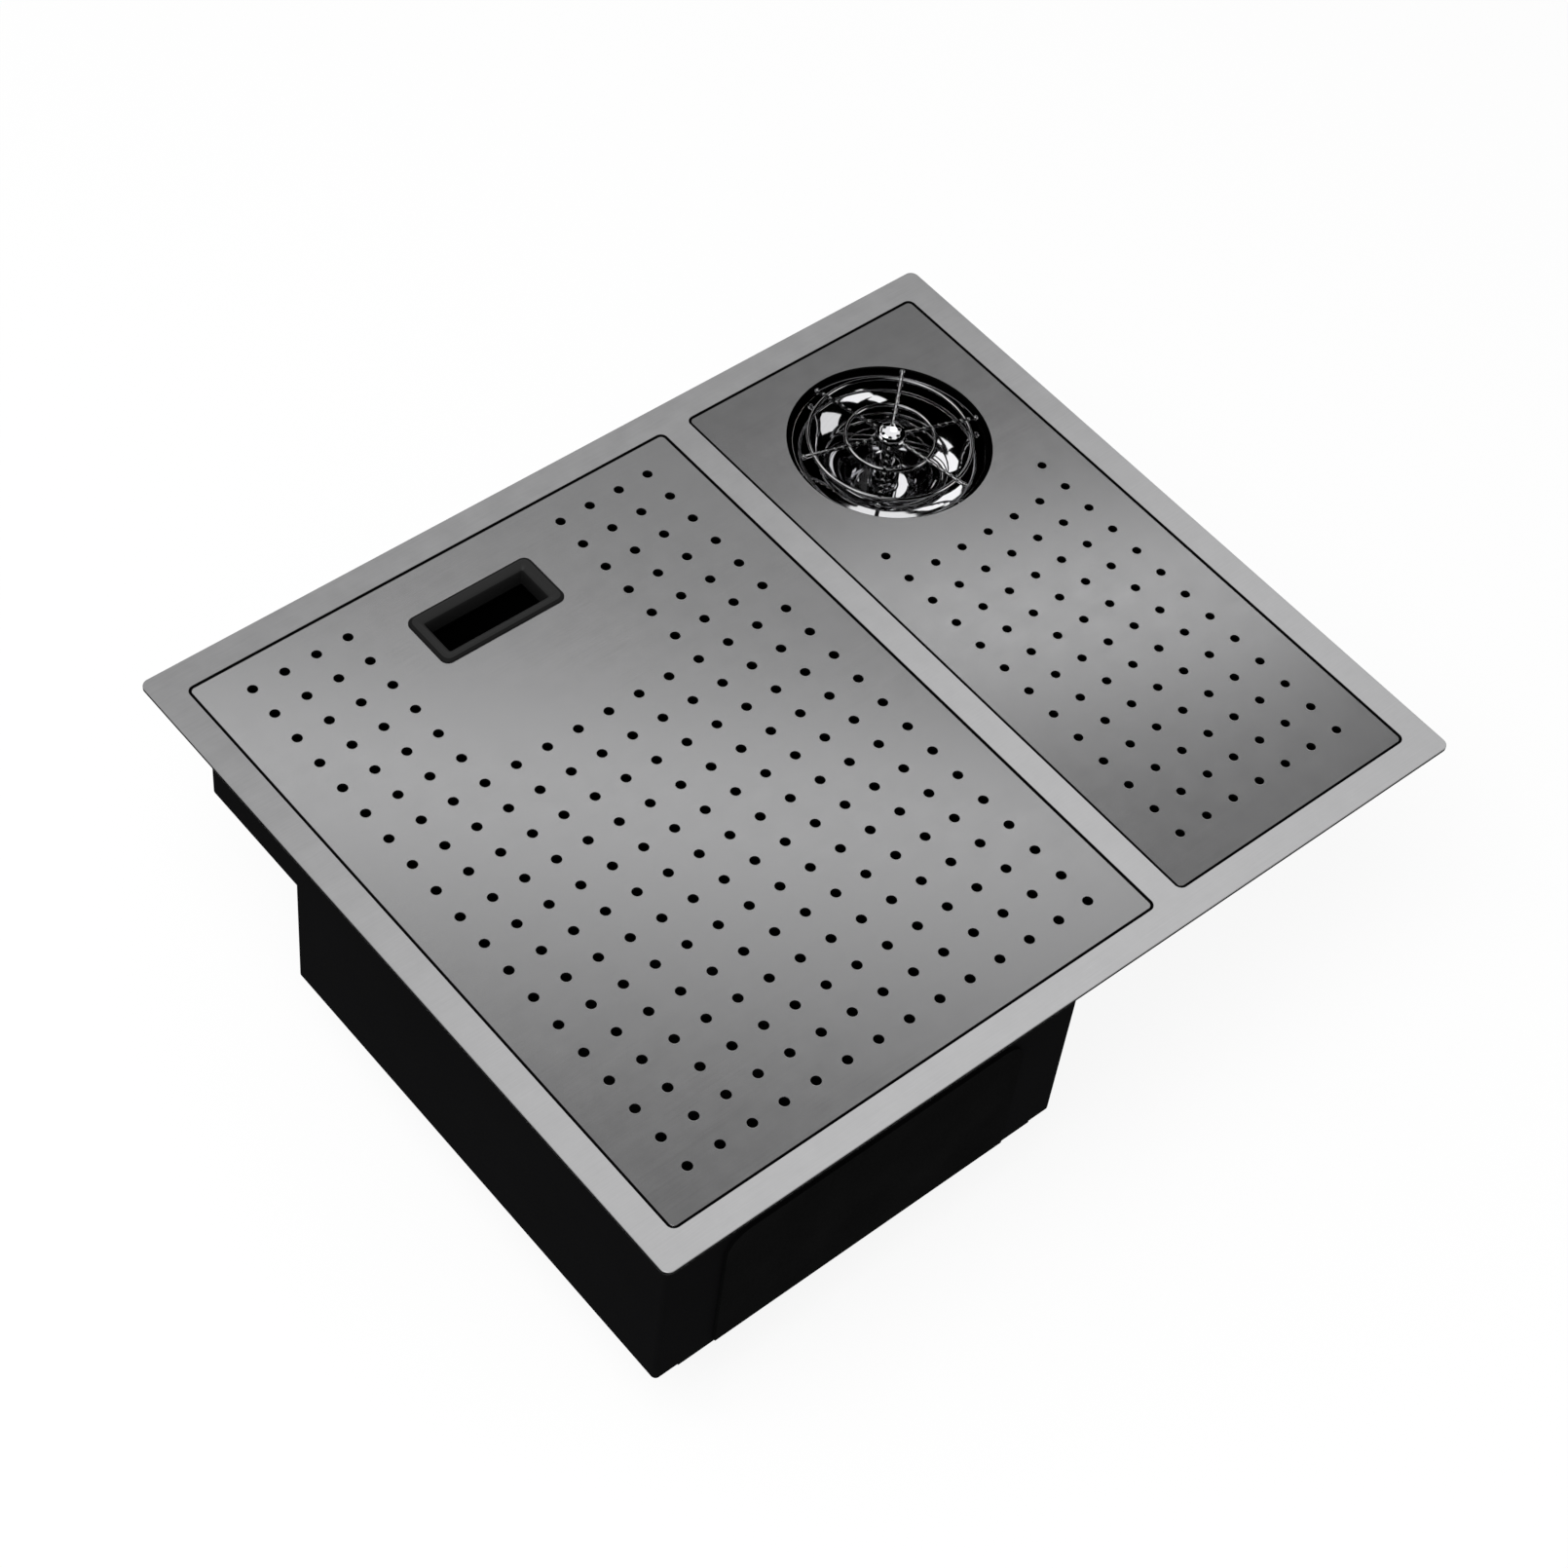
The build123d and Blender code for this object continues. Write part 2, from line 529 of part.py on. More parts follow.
def rinser_dish():
    """Polished flared dish on the tray's floor, with drain slots round its middle."""
    shoulder_z = -DISH_LIP_DEPTH - DISH_SHOULDER_DROP
    path = FilletPolyline(
        (DISH_HOLE, DISH_FLOOR_Z),
        (VALVE_FLANGE_RADIUS + DISH_FLAT_MARGIN, DISH_FLOOR_Z),
        (DISH_SHOULDER, shoulder_z),
        (DISH_RADIUS - DISH_LIP_FLAT, -DISH_LIP_DEPTH),
        (DISH_RADIUS, -DISH_LIP_DEPTH),
        radius=[DISH_FLAT_ROUND, DISH_FLARE_ROUND, DISH_LIP_ROUND],
    )
    profile = make_face(path.offset_2d(DISH_SHEET, side=Side.RIGHT, closed=True))
    dish = Pos(RINSER_X, RINSER_Y, 0) * revolve(Plane.XZ * profile, Axis.Z)
    for place in around(DISH_SLOTS, DISH_SLOT_RADIUS, RINSER_X, RINSER_Y):
        slot = SlotOverall(DISH_SLOT_LENGTH, DISH_SLOT_WIDTH, rotation=90)
        cutter = extrude(slot, amount=shoulder_z - DISH_BOTTOM_Z)
        dish -= place * Pos(0, 0, DISH_BOTTOM_Z - CUT) * cutter
    return dish


def dish_gasket():
    """Rubber ring between the dish and the tray."""
    return ring(GASKET_RADIUS, DISH_HOLE, TRAY_Z, DISH_BOTTOM_Z, RINSER_X, RINSER_Y)


def valve_body():
    """Turned body that clamps the dish, guides the stem and holds the valve seat."""
    bore = STEM_RADIUS + STEM_FIT
    ring_z = VALVE_TOP_Z - NECK_RING_DEPTH
    body = turned(
        [
            (bore, VALVE_TOP_Z),
            (VALVE_NECK_RADIUS - VALVE_CHAMFER, VALVE_TOP_Z),
            (VALVE_NECK_RADIUS, VALVE_TOP_Z - VALVE_CHAMFER),
            (VALVE_NECK_RADIUS, DISH_FLOOR_Z + VALVE_FLANGE_THICK),
            (VALVE_FLANGE_RADIUS, DISH_FLOOR_Z + VALVE_FLANGE_THICK),
            (VALVE_FLANGE_RADIUS, DISH_FLOOR_Z),
            (SHANK_RADIUS, DISH_FLOOR_Z),
            (SHANK_RADIUS, SHANK_END_Z),
            (CHAMBER_RADIUS, SHANK_END_Z),
            (CHAMBER_RADIUS, VALVE_SEAT_Z),
            (GALLERY_RADIUS, VALVE_SEAT_Z),
            (GALLERY_RADIUS, VALVE_SEAT_Z + GALLERY_LENGTH),
            (bore, VALVE_SEAT_Z + GALLERY_LENGTH),
        ],
        RINSER_X,
        RINSER_Y,
    )
    groove = 2 * NECK_RING_WIRE
    return body - ring(bore + groove, bore - CUT, ring_z - groove, ring_z, RINSER_X, RINSER_Y)


def neck_ring():
    """Rubber ring in the neck's groove that wipes the stem."""
    z = VALVE_TOP_Z - NECK_RING_DEPTH - NECK_RING_WIRE
    return Pos(RINSER_X, RINSER_Y, z) * Torus(STEM_RADIUS + STEM_FIT + NECK_RING_WIRE, NECK_RING_WIRE)


def spray_stem():
    """Hollow stem from the star down through the seat, with the poppet at its foot."""
    top, radius = HUB_TOP_Z, STEM_RADIUS
    stem = turned(
        [
            (STEM_BORE, top),
            (radius, top),
            (radius, POPPET_TOP_Z),
            (POPPET_RADIUS, POPPET_TOP_Z),
            (POPPET_RADIUS, POPPET_END_Z),
            (0, POPPET_END_Z),
            (0, VALVE_SEAT_Z + STEM_BORE_END),
            (STEM_BORE, VALVE_SEAT_Z + STEM_BORE_END),
        ],
        RINSER_X,
        RINSER_Y,
    )
    port_z = VALVE_SEAT_Z + GALLERY_LENGTH / 2
    return stem - cross_rod(PORT_RADIUS, RINSER_X - 2 * radius, RINSER_X + 2 * radius, RINSER_Y, port_z)


def poppet_seal():
    """Rubber ring on the poppet that closes against the seat."""
    outer = POPPET_RADIUS + POPPET_SEAL_LAP
    return ring(outer, STEM_RADIUS, POPPET_TOP_Z, SEAL_TOP_Z, RINSER_X, RINSER_Y)


def helix_turns(radius, low, high, turns, parts_per_turn=4):
    """Helix as pairs of tangent arcs, a pair for each part of a turn."""
    count = turns * parts_per_turn
    step = 2 * math.pi / parts_per_turn
    climb = (high - low) / count
    flat = Vector(0, radius * step, climb).normalized()

    def place(i):
        return Vector(radius * math.cos(step * i), radius * math.sin(step * i), low + climb * i)

    def heading(i):
        return flat.rotate(Axis.Z, math.degrees(step * i))

    arcs = []
    for i in range(count):
        a, b, ta, tb = place(i), place(i + 1), heading(i), heading(i + 1)
        chord, both = b - a, ta + tb
        square = both.dot(both) - 4
        half = chord.dot(both)
        reach = (half - math.sqrt(half * half - square * chord.dot(chord))) / square
        middle = (a + ta * reach + b - tb * reach) * 0.5
        first = TangentArc(a, middle, tangent=ta)
        arcs += [first, TangentArc(middle, b, tangent=first % 1)]
    return Wire(arcs)


def return_spring():
    """Coil between the inlet nipple and the poppet."""
    end = SPRING_WIRE / 2 + SPRING_FIT
    low, high = SPRING_FOOT_Z + end, POPPET_END_Z - end
    path = helix_turns(SPRING_RADIUS, low, high, SPRING_TURNS)
    section = Plane(origin=path @ 0, z_dir=path % 0) * Circle(SPRING_WIRE / 2)
    print("return_spring gap between turns", (high - low) / SPRING_TURNS - SPRING_WIRE)
    return Pos(RINSER_X, RINSER_Y, 0) * sweep(section, path=path)


def inlet_washer():
    """Rubber washer between the shank's end and the nipple's hexagon."""
    low = SHANK_END_Z - INLET_WASHER_THICK
    return ring(SHANK_RADIUS, CHAMBER_RADIUS, low, SHANK_END_Z, RINSER_X, RINSER_Y)


def inlet_nipple():
    """Nipple screwed into the shank, with the thread for the water supply below."""
    plug = CHAMBER_RADIUS - NIPPLE_PLUG_FIT
    hexagon_top = SHANK_END_Z - INLET_WASHER_THICK
    thread_top = hexagon_top - NIPPLE_HEX
    nipple = rod(plug, hexagon_top, SPRING_FOOT_Z)
    hexagon = RegularPolygon(NIPPLE_FLATS / 2, 6, major_radius=False)
    nipple += Pos(0, 0, thread_top) * extrude(hexagon, amount=NIPPLE_HEX)
    nipple += rod(NIPPLE_THREAD_RADIUS, thread_top - NIPPLE_THREAD_LENGTH, thread_top)
    nipple -= rod(NIPPLE_BORE, thread_top - NIPPLE_THREAD_LENGTH - CUT, SPRING_FOOT_Z + CUT)
    return Pos(RINSER_X, RINSER_Y, 0) * nipple


def under_washer():
    """Rubber washer under the tray."""
    low = -TRAY_DEPTH - WASHER_THICK
    return ring(WASHER_RADIUS, SHANK_RADIUS + SCREW_FIT, low, -TRAY_DEPTH, RINSER_X, RINSER_Y)


def plate_washer():
    """Steel washer that spreads the lock nut's load."""
    high = -TRAY_DEPTH - WASHER_THICK
    low = high - PLATE_WASHER_THICK
    return ring(WASHER_RADIUS, SHANK_RADIUS + SCREW_FIT, low, high, RINSER_X, RINSER_Y)


def shank_nut():
    """Hexagon lock nut on the shank."""
    high = -TRAY_DEPTH - WASHER_THICK - PLATE_WASHER_THICK
    hexagon = RegularPolygon(NUT_FLATS / 2, 6, major_radius=False) - Circle(SHANK_RADIUS + SCREW_FIT)
    return Pos(RINSER_X, RINSER_Y, high - NUT_HEIGHT) * extrude(hexagon, amount=NUT_HEIGHT)


def star_arm():
    """One arm along +X, sloping down from the hub to its ball end."""
    tip = STAR_TIP_RADIUS - STAR_BALL
    outline = Polyline(
        (0, 0, ARM_TOP_AT_HUB - ARM_HEIGHT),
        (tip, 0, ARM_TOP_AT_TIP - ARM_HEIGHT),
        (tip, 0, ARM_TOP_AT_TIP),
        (0, 0, ARM_TOP_AT_HUB),
        close=True,
    )
    arm = extrude(make_face(outline), amount=ARM_WIDTH / 2, both=True)
    return arm + Pos(tip, 0, ARM_TOP_AT_TIP - STAR_BALL) * Sphere(STAR_BALL)


def spray_star():
    """Six arms and two rings on a hub that fits over the stem."""
    slope = (ARM_TOP_AT_HUB - ARM_TOP_AT_TIP) / (STAR_TIP_RADIUS - STAR_BALL)
    star = rod(HUB_RADIUS, HUB_TOP_Z - HUB_HEIGHT, HUB_TOP_Z)
    for i in range(STAR_ARMS):
        star += Rot(0, 0, STAR_FIRST_ANGLE + 360 / STAR_ARMS * i) * star_arm()
    for radius in (OUTER_RING, INNER_RING):
        z = ARM_TOP_AT_HUB - slope * radius - ARM_HEIGHT + RING_WIRE / 2
        star += Pos(0, 0, z) * Torus(radius, RING_WIRE)
    star -= rod(STEM_RADIUS, HUB_TOP_Z - HUB_HEIGHT - CUT, HUB_TOP_Z + CUT)
    return Pos(RINSER_X, RINSER_Y, 0) * star


def spray_cap():
    """Bright cap on the hub with a ring of jets."""
    cap = turned(
        [
            (0, HUB_TOP_Z),
            (CAP_RADIUS, HUB_TOP_Z),
            (CAP_RADIUS - CAP_LEAN, CAP_TOP - CAP_ROUND_DROP),
            (CAP_RADIUS - CAP_ROUND, CAP_TOP),
            (0, CAP_TOP),
        ]
    )
    for place in around(CAP_JETS, CAP_JET_CIRCLE):
        cap -= place * rod(CAP_JET_RADIUS, HUB_TOP_Z - CUT, CAP_TOP + CUT)
    return Pos(RINSER_X, RINSER_Y, 0) * cap


def drain_cup():
    """Flanged cup in the bowl's floor, with its ring of holes and the screw's hole."""
    top, low, t = CUP_FLANGE_Z + CUP_SHEET, CUP_FLOOR_Z, CUP_SHEET
    cup = turned(
        [
            (CUP_RADIUS - t, top),
            (CUP_FLANGE_RADIUS - CUP_EDGE, top),
            (CUP_FLANGE_RADIUS, CUP_FLANGE_Z),
            (CUP_RADIUS, CUP_FLANGE_Z),
            (CUP_RADIUS, low),
            (0, low),
            (0, low + t),
            (CUP_RADIUS - t, low + t),
        ]
    )
    for place in around(CUP_HOLES, CUP_HOLE_CIRCLE):
        cup -= place * rod(CUP_HOLE / 2, low - CUT, low + t + CUT)
    cup -= rod(SCREW_RADIUS + SCREW_FIT, low - CUT, low + t + CUT)
    return Pos(DRAIN_X, DRAIN_Y, 0) * cup


def drain_top_seal():
    """Thin seal under the cup's flange."""
    outer, inner = CUP_FLANGE_RADIUS - SEAL_INSET, DRAIN_HOLE / 2 + SEAL_INSET
    return ring(outer, inner, DRAIN_TOP_Z, CUP_FLANGE_Z, DRAIN_X, DRAIN_Y)


def drain_under_seal():
    """Thick seal between the floor and the housing."""
    outer, inner = HOUSING_FLANGE_RADIUS - SEAL_INSET, CUP_RADIUS + UNDER_SEAL_CLEAR
    return ring(outer, inner, HOUSING_TOP_Z, DRAIN_UNDER_Z, DRAIN_X, DRAIN_Y)


def drain_housing():
    """Plastic waste housing with the threaded outlet, the overflow's spigot and the screw's boss."""
    inner, floor_top = HOUSING_RADIUS - HOUSING_WALL, HOUSING_FLOOR_Z + HOUSING_WALL
    bore = OUTLET_RADIUS - OUTLET_WALL
    housing = turned(
        [
            (inner, HOUSING_TOP_Z),
            (HOUSING_FLANGE_RADIUS, HOUSING_TOP_Z),
            (HOUSING_FLANGE_RADIUS, HOUSING_TOP_Z - HOUSING_FLANGE_THICK),
            (HOUSING_RADIUS, HOUSING_TOP_Z - HOUSING_FLANGE_THICK),
            (HOUSING_RADIUS, HOUSING_FLOOR_Z),
            (OUTLET_RADIUS, HOUSING_FLOOR_Z),
            (OUTLET_RADIUS, HOUSING_FLOOR_Z - OUTLET_LENGTH),
            (bore, HOUSING_FLOOR_Z - OUTLET_LENGTH),
            (bore, floor_top),
            (inner, floor_top),
        ]
    )
    boss_top, boss_end = CUP_FLOOR_Z, CUP_FLOOR_Z - SCREW_GRIP
    boss = rod(BOSS_RADIUS, boss_end, boss_top)
    reach = inner + HOUSING_WALL / 2
    rib = slab(0, reach, -RIB_THICK / 2, RIB_THICK / 2, boss_end, boss_end + RIB_HEIGHT)
    for place in around(RIB_COUNT, 0, first=RIB_FIRST_ANGLE):
        boss += place * rib
    spigot = cross_rod(SPIGOT_RADIUS, inner, HOUSING_RADIUS + SIDE_SPIGOT_LENGTH, 0, SPIGOT_Z)
    housing += spigot - rod(inner, HOUSING_FLOOR_Z, HOUSING_TOP_Z)
    end = HOUSING_RADIUS + SIDE_SPIGOT_LENGTH + CUT
    housing -= cross_rod(SPIGOT_RADIUS - SPIGOT_WALL, inner - HOUSING_WALL, end, 0, SPIGOT_Z)
    housing += boss
    housing -= rod(SCREW_RADIUS + SCREW_FIT / 2, boss_end - CUT, boss_top + CUT)
    return Pos(DRAIN_X, DRAIN_Y, 0) * housing


def clamp_screw():
    """Screw that pulls the cup and the housing together."""
    top = CUP_FLOOR_Z + CUP_SHEET
    head = rod(SCREW_HEAD_RADIUS, top, top + SCREW_HEAD_HEIGHT, DRAIN_X, DRAIN_Y)
    slot_low, slot_high = top + SCREW_HEAD_HEIGHT / 2, top + SCREW_HEAD_HEIGHT + CUT
    slot = slab(
        -SCREW_HEAD_RADIUS, SCREW_HEAD_RADIUS, -SCREW_SLOT / 2, SCREW_SLOT / 2, slot_low, slot_high
    )
    shank = rod(SCREW_RADIUS, CUP_FLOOR_Z - SCREW_GRIP, top, DRAIN_X, DRAIN_Y)
    return head + shank - Pos(DRAIN_X, DRAIN_Y, 0) * slot


def strainer_basket():
    """Perforated basket that lifts out of the cup."""
    low, high = BASKET_UNDER_Z, BASKET_TOP_Z
    top, bottom, t = BASKET_TOP_RADIUS, BASKET_BOTTOM_RADIUS, BASKET_SHEET
    basket = turned(
        [
            (0, low),
            (bottom, low),
            (top - BASKET_LIP, high - t),
            (top, high - t),
            (top, high),
            (top - BASKET_LIP - t, high),
            (bottom - t, low + t),
            (0, low + t),
        ]
    )
    for level in BASKET_WALL_LEVELS:
        z = low + (high - low) * level
        for place in around(BASKET_WALL_HOLES, 0, first=360 / BASKET_WALL_HOLES * level):
            basket -= place * cross_rod(BASKET_HOLE / 2, bottom - t - CUT, top + CUT, 0, z)
    for share, count in BASKET_FLOOR_RINGS:
        for place in around(count, bottom * share):
            basket -= place * rod(BASKET_HOLE / 2, low - CUT, low + t + CUT)
    return Pos(DRAIN_X, DRAIN_Y, 0) * basket


def basket_seal():
    """Rubber ring under the basket that rests on the cup's floor."""
    outer = BASKET_BOTTOM_RADIUS
    return ring(outer, outer - BASKET_SEAL_WIDTH, BASKET_SEAL_Z, BASKET_UNDER_Z, DRAIN_X, DRAIN_Y)


def basket_knob():
    """Knob in the middle of the basket."""
    foot = BASKET_UNDER_Z + BASKET_SHEET
    top = CUP_FLANGE_Z + CUP_SHEET - KNOB_BELOW_FLANGE
    knob = turned(
        [
            (0, foot),
            (KNOB_STEM, foot),
            (KNOB_STEM, top - KNOB_THICK),
            (KNOB_RADIUS - KNOB_CHAMFER, top - KNOB_THICK),
            (KNOB_RADIUS, top - KNOB_THICK + KNOB_CHAMFER),
            (KNOB_RADIUS, top - KNOB_CHAMFER),
            (KNOB_RADIUS - KNOB_CHAMFER, top),
            (0, top),
        ]
    )
    return Pos(DRAIN_X, DRAIN_Y, 0) * knob


def overflow_grille():
    """Slotted disc over the overflow hole in the bowl's right wall."""
    x1 = BOWL_X1 - SHEET
    low, high = OVERFLOW_BOSS + GRILLE_SLOT_INSET, OVERFLOW_HOLE - GRILLE_SLOT_INSET
    grille = cross_rod(GRILLE_RADIUS, -GRILLE_THICK, 0, 0, 0)
    slot = slab(-GRILLE_THICK - CUT, CUT, -GRILLE_SLOT / 2, GRILLE_SLOT / 2, low, high)
    for i in range(GRILLE_SLOTS):
        grille -= Rot(360 / GRILLE_SLOTS * (i + 0.5), 0, 0) * slot
    grille -= cross_rod(OVERFLOW_SCREW + SCREW_FIT, -GRILLE_THICK - CUT, CUT, 0, 0)
    return Pos(x1, DRAIN_Y, OVERFLOW_Z) * grille


def overflow_seal():
    """Rubber ring between the wall and the elbow."""
    seal = cross_rod(ELBOW_FLANGE, BOWL_X1, ELBOW_X0, DRAIN_Y, OVERFLOW_Z)
    hole = OVERFLOW_HOLE + OVERFLOW_SEAL_CLEAR
    return seal - cross_rod(hole, BOWL_X1 - CUT, ELBOW_X0 + CUT, DRAIN_Y, OVERFLOW_Z)


def overflow_elbow():
    """Plastic elbow behind the wall, with its screw boss and the spigot for the pipe."""
    end, bore = ELBOW_X0 + ELBOW_LENGTH, ELBOW_RADIUS - ELBOW_WALL
    low = -ELBOW_RADIUS - SPIGOT_DROP
    elbow = cross_rod(ELBOW_FLANGE, ELBOW_X0, ELBOW_X0 + ELBOW_FLANGE_THICK, 0, 0)
    elbow += cross_rod(ELBOW_RADIUS, ELBOW_X0, end, 0, 0)
    elbow += rod(SPIGOT_RADIUS, low, 0, SPIGOT_X)
    elbow -= cross_rod(bore, ELBOW_X0 - CUT, end - ELBOW_WALL, 0, 0)
    elbow -= rod(SPIGOT_RADIUS - SPIGOT_WALL, low - CUT, 0, SPIGOT_X)
    elbow += cross_rod(OVERFLOW_BOSS, ELBOW_X0, end - ELBOW_WALL, 0, 0)
    bore_end = end - ELBOW_WALL - OVERFLOW_BORE_END
    elbow -= cross_rod(OVERFLOW_SCREW + SCREW_FIT, ELBOW_X0 - CUT, bore_end, 0, 0)
    return Pos(0, DRAIN_Y, OVERFLOW_Z) * elbow


def overflow_screw():
    """Screw through the grille into the elbow's boss."""
    x0 = BOWL_X1 - SHEET - GRILLE_THICK
    head = cross_rod(OVERFLOW_SCREW_HEAD, x0 - OVERFLOW_SCREW_HEAD_HEIGHT, x0, DRAIN_Y, OVERFLOW_Z)
    shank = cross_rod(OVERFLOW_SCREW, x0, ELBOW_X0 + ELBOW_LENGTH / 2, DRAIN_Y, OVERFLOW_Z)
    slot_x0, slot_x1 = x0 - OVERFLOW_SCREW_HEAD_HEIGHT - CUT, x0 - OVERFLOW_SCREW_HEAD_HEIGHT / 2
    half, length = OVERFLOW_SCREW_SLOT / 2, OVERFLOW_SCREW_HEAD
    slot = slab(slot_x0, slot_x1, -length, length, -half, half)
    return head + shank - Pos(0, DRAIN_Y, OVERFLOW_Z) * slot


def overflow_pipe():
    """Down pipe from the elbow's spigot to the housing's, with one wide bend."""
    inner = SPIGOT_RADIUS + PIPE_FIT
    top = OVERFLOW_Z - ELBOW_RADIUS - SPIGOT_DROP + PIPE_LAP
    end = DRAIN_X + HOUSING_RADIUS + SIDE_SPIGOT_LENGTH - PIPE_LAP
    route = [(SPIGOT_X, DRAIN_Y, top), (SPIGOT_X, DRAIN_Y, SPIGOT_Z), (end, DRAIN_Y, SPIGOT_Z)]
    path = FilletPolyline(*route, radius=PIPE_BEND)
    section = Plane(origin=path @ 0, z_dir=path % 0) * (Circle(inner + PIPE_WALL) - Circle(inner))
    return sweep(section, path=path)


def front_sound_pad():
    """Damping pad on the front wall, rounded at its upper corners."""
    x0, x1 = -WALL_X + FRONT_PAD_SIDE, BOWL_X1 - FRONT_PAD_SIDE
    low, high = -BOWL_DEPTH + FRONT_PAD_BOTTOM_GAP, -FRONT_PAD_TOP
    pad = slab(x0, x1, -WALL_Y - FRONT_PAD_THICK, -WALL_Y, low, high)
    corners = pad.edges().filter_by(Axis.Y).group_by(Axis.Z)[-1]
    return fillet(corners, FRONT_PAD_CORNER)


def rear_sound_pad():
    """Damping pad on the bowl's rear wall, under the tap ledge."""
    x0, x1 = -WALL_X + REAR_PAD_SIDE, BOWL_X1 - REAR_PAD_SIDE
    low, high = -BOWL_DEPTH + REAR_PAD_EDGE, -LEDGE_DEPTH - REAR_PAD_EDGE
    pad = slab(x0, x1, BOWL_Y1, BOWL_Y1 + REAR_PAD_THICK, low, high)
    return fillet(pad.edges().filter_by(Axis.Y), FRONT_PAD_CORNER)


def floor_sound_pad():
    """Damping pad that follows the sloping floor, open round the waste."""
    x0, x1 = -WALL_X + FLOOR_PAD_SIDE, BOWL_X1 - FLOOR_PAD_SIDE
    block = deep_block(0, -BOWL_DEPTH)
    skin = Pos(0, 0, -FLOOR_PAD_THICK) * block - block
    deep, high = -BOWL_DEPTH - FLOOR_FALL - 2 * FLOOR_PAD_THICK, -BOWL_DEPTH + CUT
    pad = skin & slab(x0, x1, -WALL_Y, BOWL_Y1 - FLOOR_PAD_SIDE, deep, high)
    hole = HOUSING_FLANGE_RADIUS + FLOOR_PAD_CLEAR
    return pad - rod(hole, deep - CUT, high, DRAIN_X, DRAIN_Y)


def all_parts():
    """Every sub-part by its name."""
    form = body_form()
    return {
        "rim_frame": rim_frame(),
        "seat_frame": seat_frame(form),
        "bowl_shell": bowl_shell(form),
        "side_tray": side_tray(form),
        "cover_rail": cover_rail(),
        "main_cover": main_cover(),
        "side_cover": side_cover(),
        "main_cover_cushions": cushions(MAIN_X0, MAIN_X1),
        "side_cover_cushions": cushions(SIDE_X0, SIDE_X1),
        "finger_pull_frame": finger_pull_frame(),
        "front_sound_pad": front_sound_pad(),
        "rear_sound_pad": rear_sound_pad(),
        "floor_sound_pad": floor_sound_pad(),
        "rinser_dish": rinser_dish(),
        "dish_gasket": dish_gasket(),
        "valve_body": valve_body(),
        "neck_ring": neck_ring(),
        "spray_star": spray_star(),
        "spray_cap": spray_cap(),
        "spray_stem": spray_stem(),
        "poppet_seal": poppet_seal(),
        "return_spring": return_spring(),
        "inlet_washer": inlet_washer(),
        "inlet_nipple": inlet_nipple(),
        "under_washer": under_washer(),
        "plate_washer": plate_washer(),
        "shank_nut": shank_nut(),
        "drain_cup": drain_cup(),
        "drain_top_seal": drain_top_seal(),
        "drain_under_seal": drain_under_seal(),
        "drain_housing": drain_housing(),
        "clamp_screw": clamp_screw(),
        "strainer_basket": strainer_basket(),
        "basket_seal": basket_seal(),
        "basket_knob": basket_knob(),
        "overflow_grille": overflow_grille(),
        "overflow_seal": overflow_seal(),
        "overflow_elbow": overflow_elbow(),
        "overflow_screw": overflow_screw(),
        "overflow_pipe": overflow_pipe(),
    }


os.makedirs("parts", exist_ok=True)
for node, shape in all_parts().items():
    export_step(shape, f"parts/{node}.step")
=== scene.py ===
import math

import bmesh
import bpy
from mathutils import Matrix, Vector


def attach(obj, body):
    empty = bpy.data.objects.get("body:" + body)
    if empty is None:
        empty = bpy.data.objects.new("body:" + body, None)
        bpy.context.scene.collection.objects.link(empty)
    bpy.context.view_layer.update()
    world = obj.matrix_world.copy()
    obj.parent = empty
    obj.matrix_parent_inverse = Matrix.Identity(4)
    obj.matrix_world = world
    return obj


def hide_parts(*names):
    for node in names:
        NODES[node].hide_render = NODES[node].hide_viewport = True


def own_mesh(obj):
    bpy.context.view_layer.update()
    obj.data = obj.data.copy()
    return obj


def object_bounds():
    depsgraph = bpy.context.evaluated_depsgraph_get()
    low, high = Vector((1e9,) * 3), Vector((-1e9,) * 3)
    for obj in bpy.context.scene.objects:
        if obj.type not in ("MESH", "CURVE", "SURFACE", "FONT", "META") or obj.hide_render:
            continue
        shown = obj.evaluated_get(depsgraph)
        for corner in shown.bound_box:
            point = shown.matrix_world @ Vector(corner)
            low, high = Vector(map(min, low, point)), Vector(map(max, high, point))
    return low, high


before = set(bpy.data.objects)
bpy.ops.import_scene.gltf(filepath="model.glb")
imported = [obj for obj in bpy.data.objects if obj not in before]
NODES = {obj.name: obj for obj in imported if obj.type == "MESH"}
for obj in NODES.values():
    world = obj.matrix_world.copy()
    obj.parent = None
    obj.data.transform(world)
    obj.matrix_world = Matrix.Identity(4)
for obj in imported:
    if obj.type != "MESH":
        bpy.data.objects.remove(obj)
CAD_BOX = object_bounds()

# Workstation sink, in metres: +X right, +Y to the back, +Z up, origin in the middle of the rim's top.
FLOOR_Z = CAD_BOX[0].z
RINSER = Vector((0.1715, 0.1265, 0.0))
DRAIN = Vector((-0.109, -0.0395, 0.0))

# Camera: eye, the directions of the picture's right and up, and the lens on a 36 mm sensor
EYE = (-0.86242, -0.81934, 1.45586)
PICTURE_RIGHT = (0.76484, -0.63839, 0.08648)
PICTURE_UP = (0.46560, 0.64055, 0.61067)
LENS = 79.96
SENSOR = 36.0

# Covers: ends of each along X, half their width along Y
COVER_ENDS = ((-0.2560, 0.0666), (0.0866, 0.2560))
COVER_HALF_WIDTH, COVER_CORNER = 0.2060, 0.0030

# Waste outlet's thread
OUTLET_TOP, OUTLET_PITCH = -0.2240, 0.0023

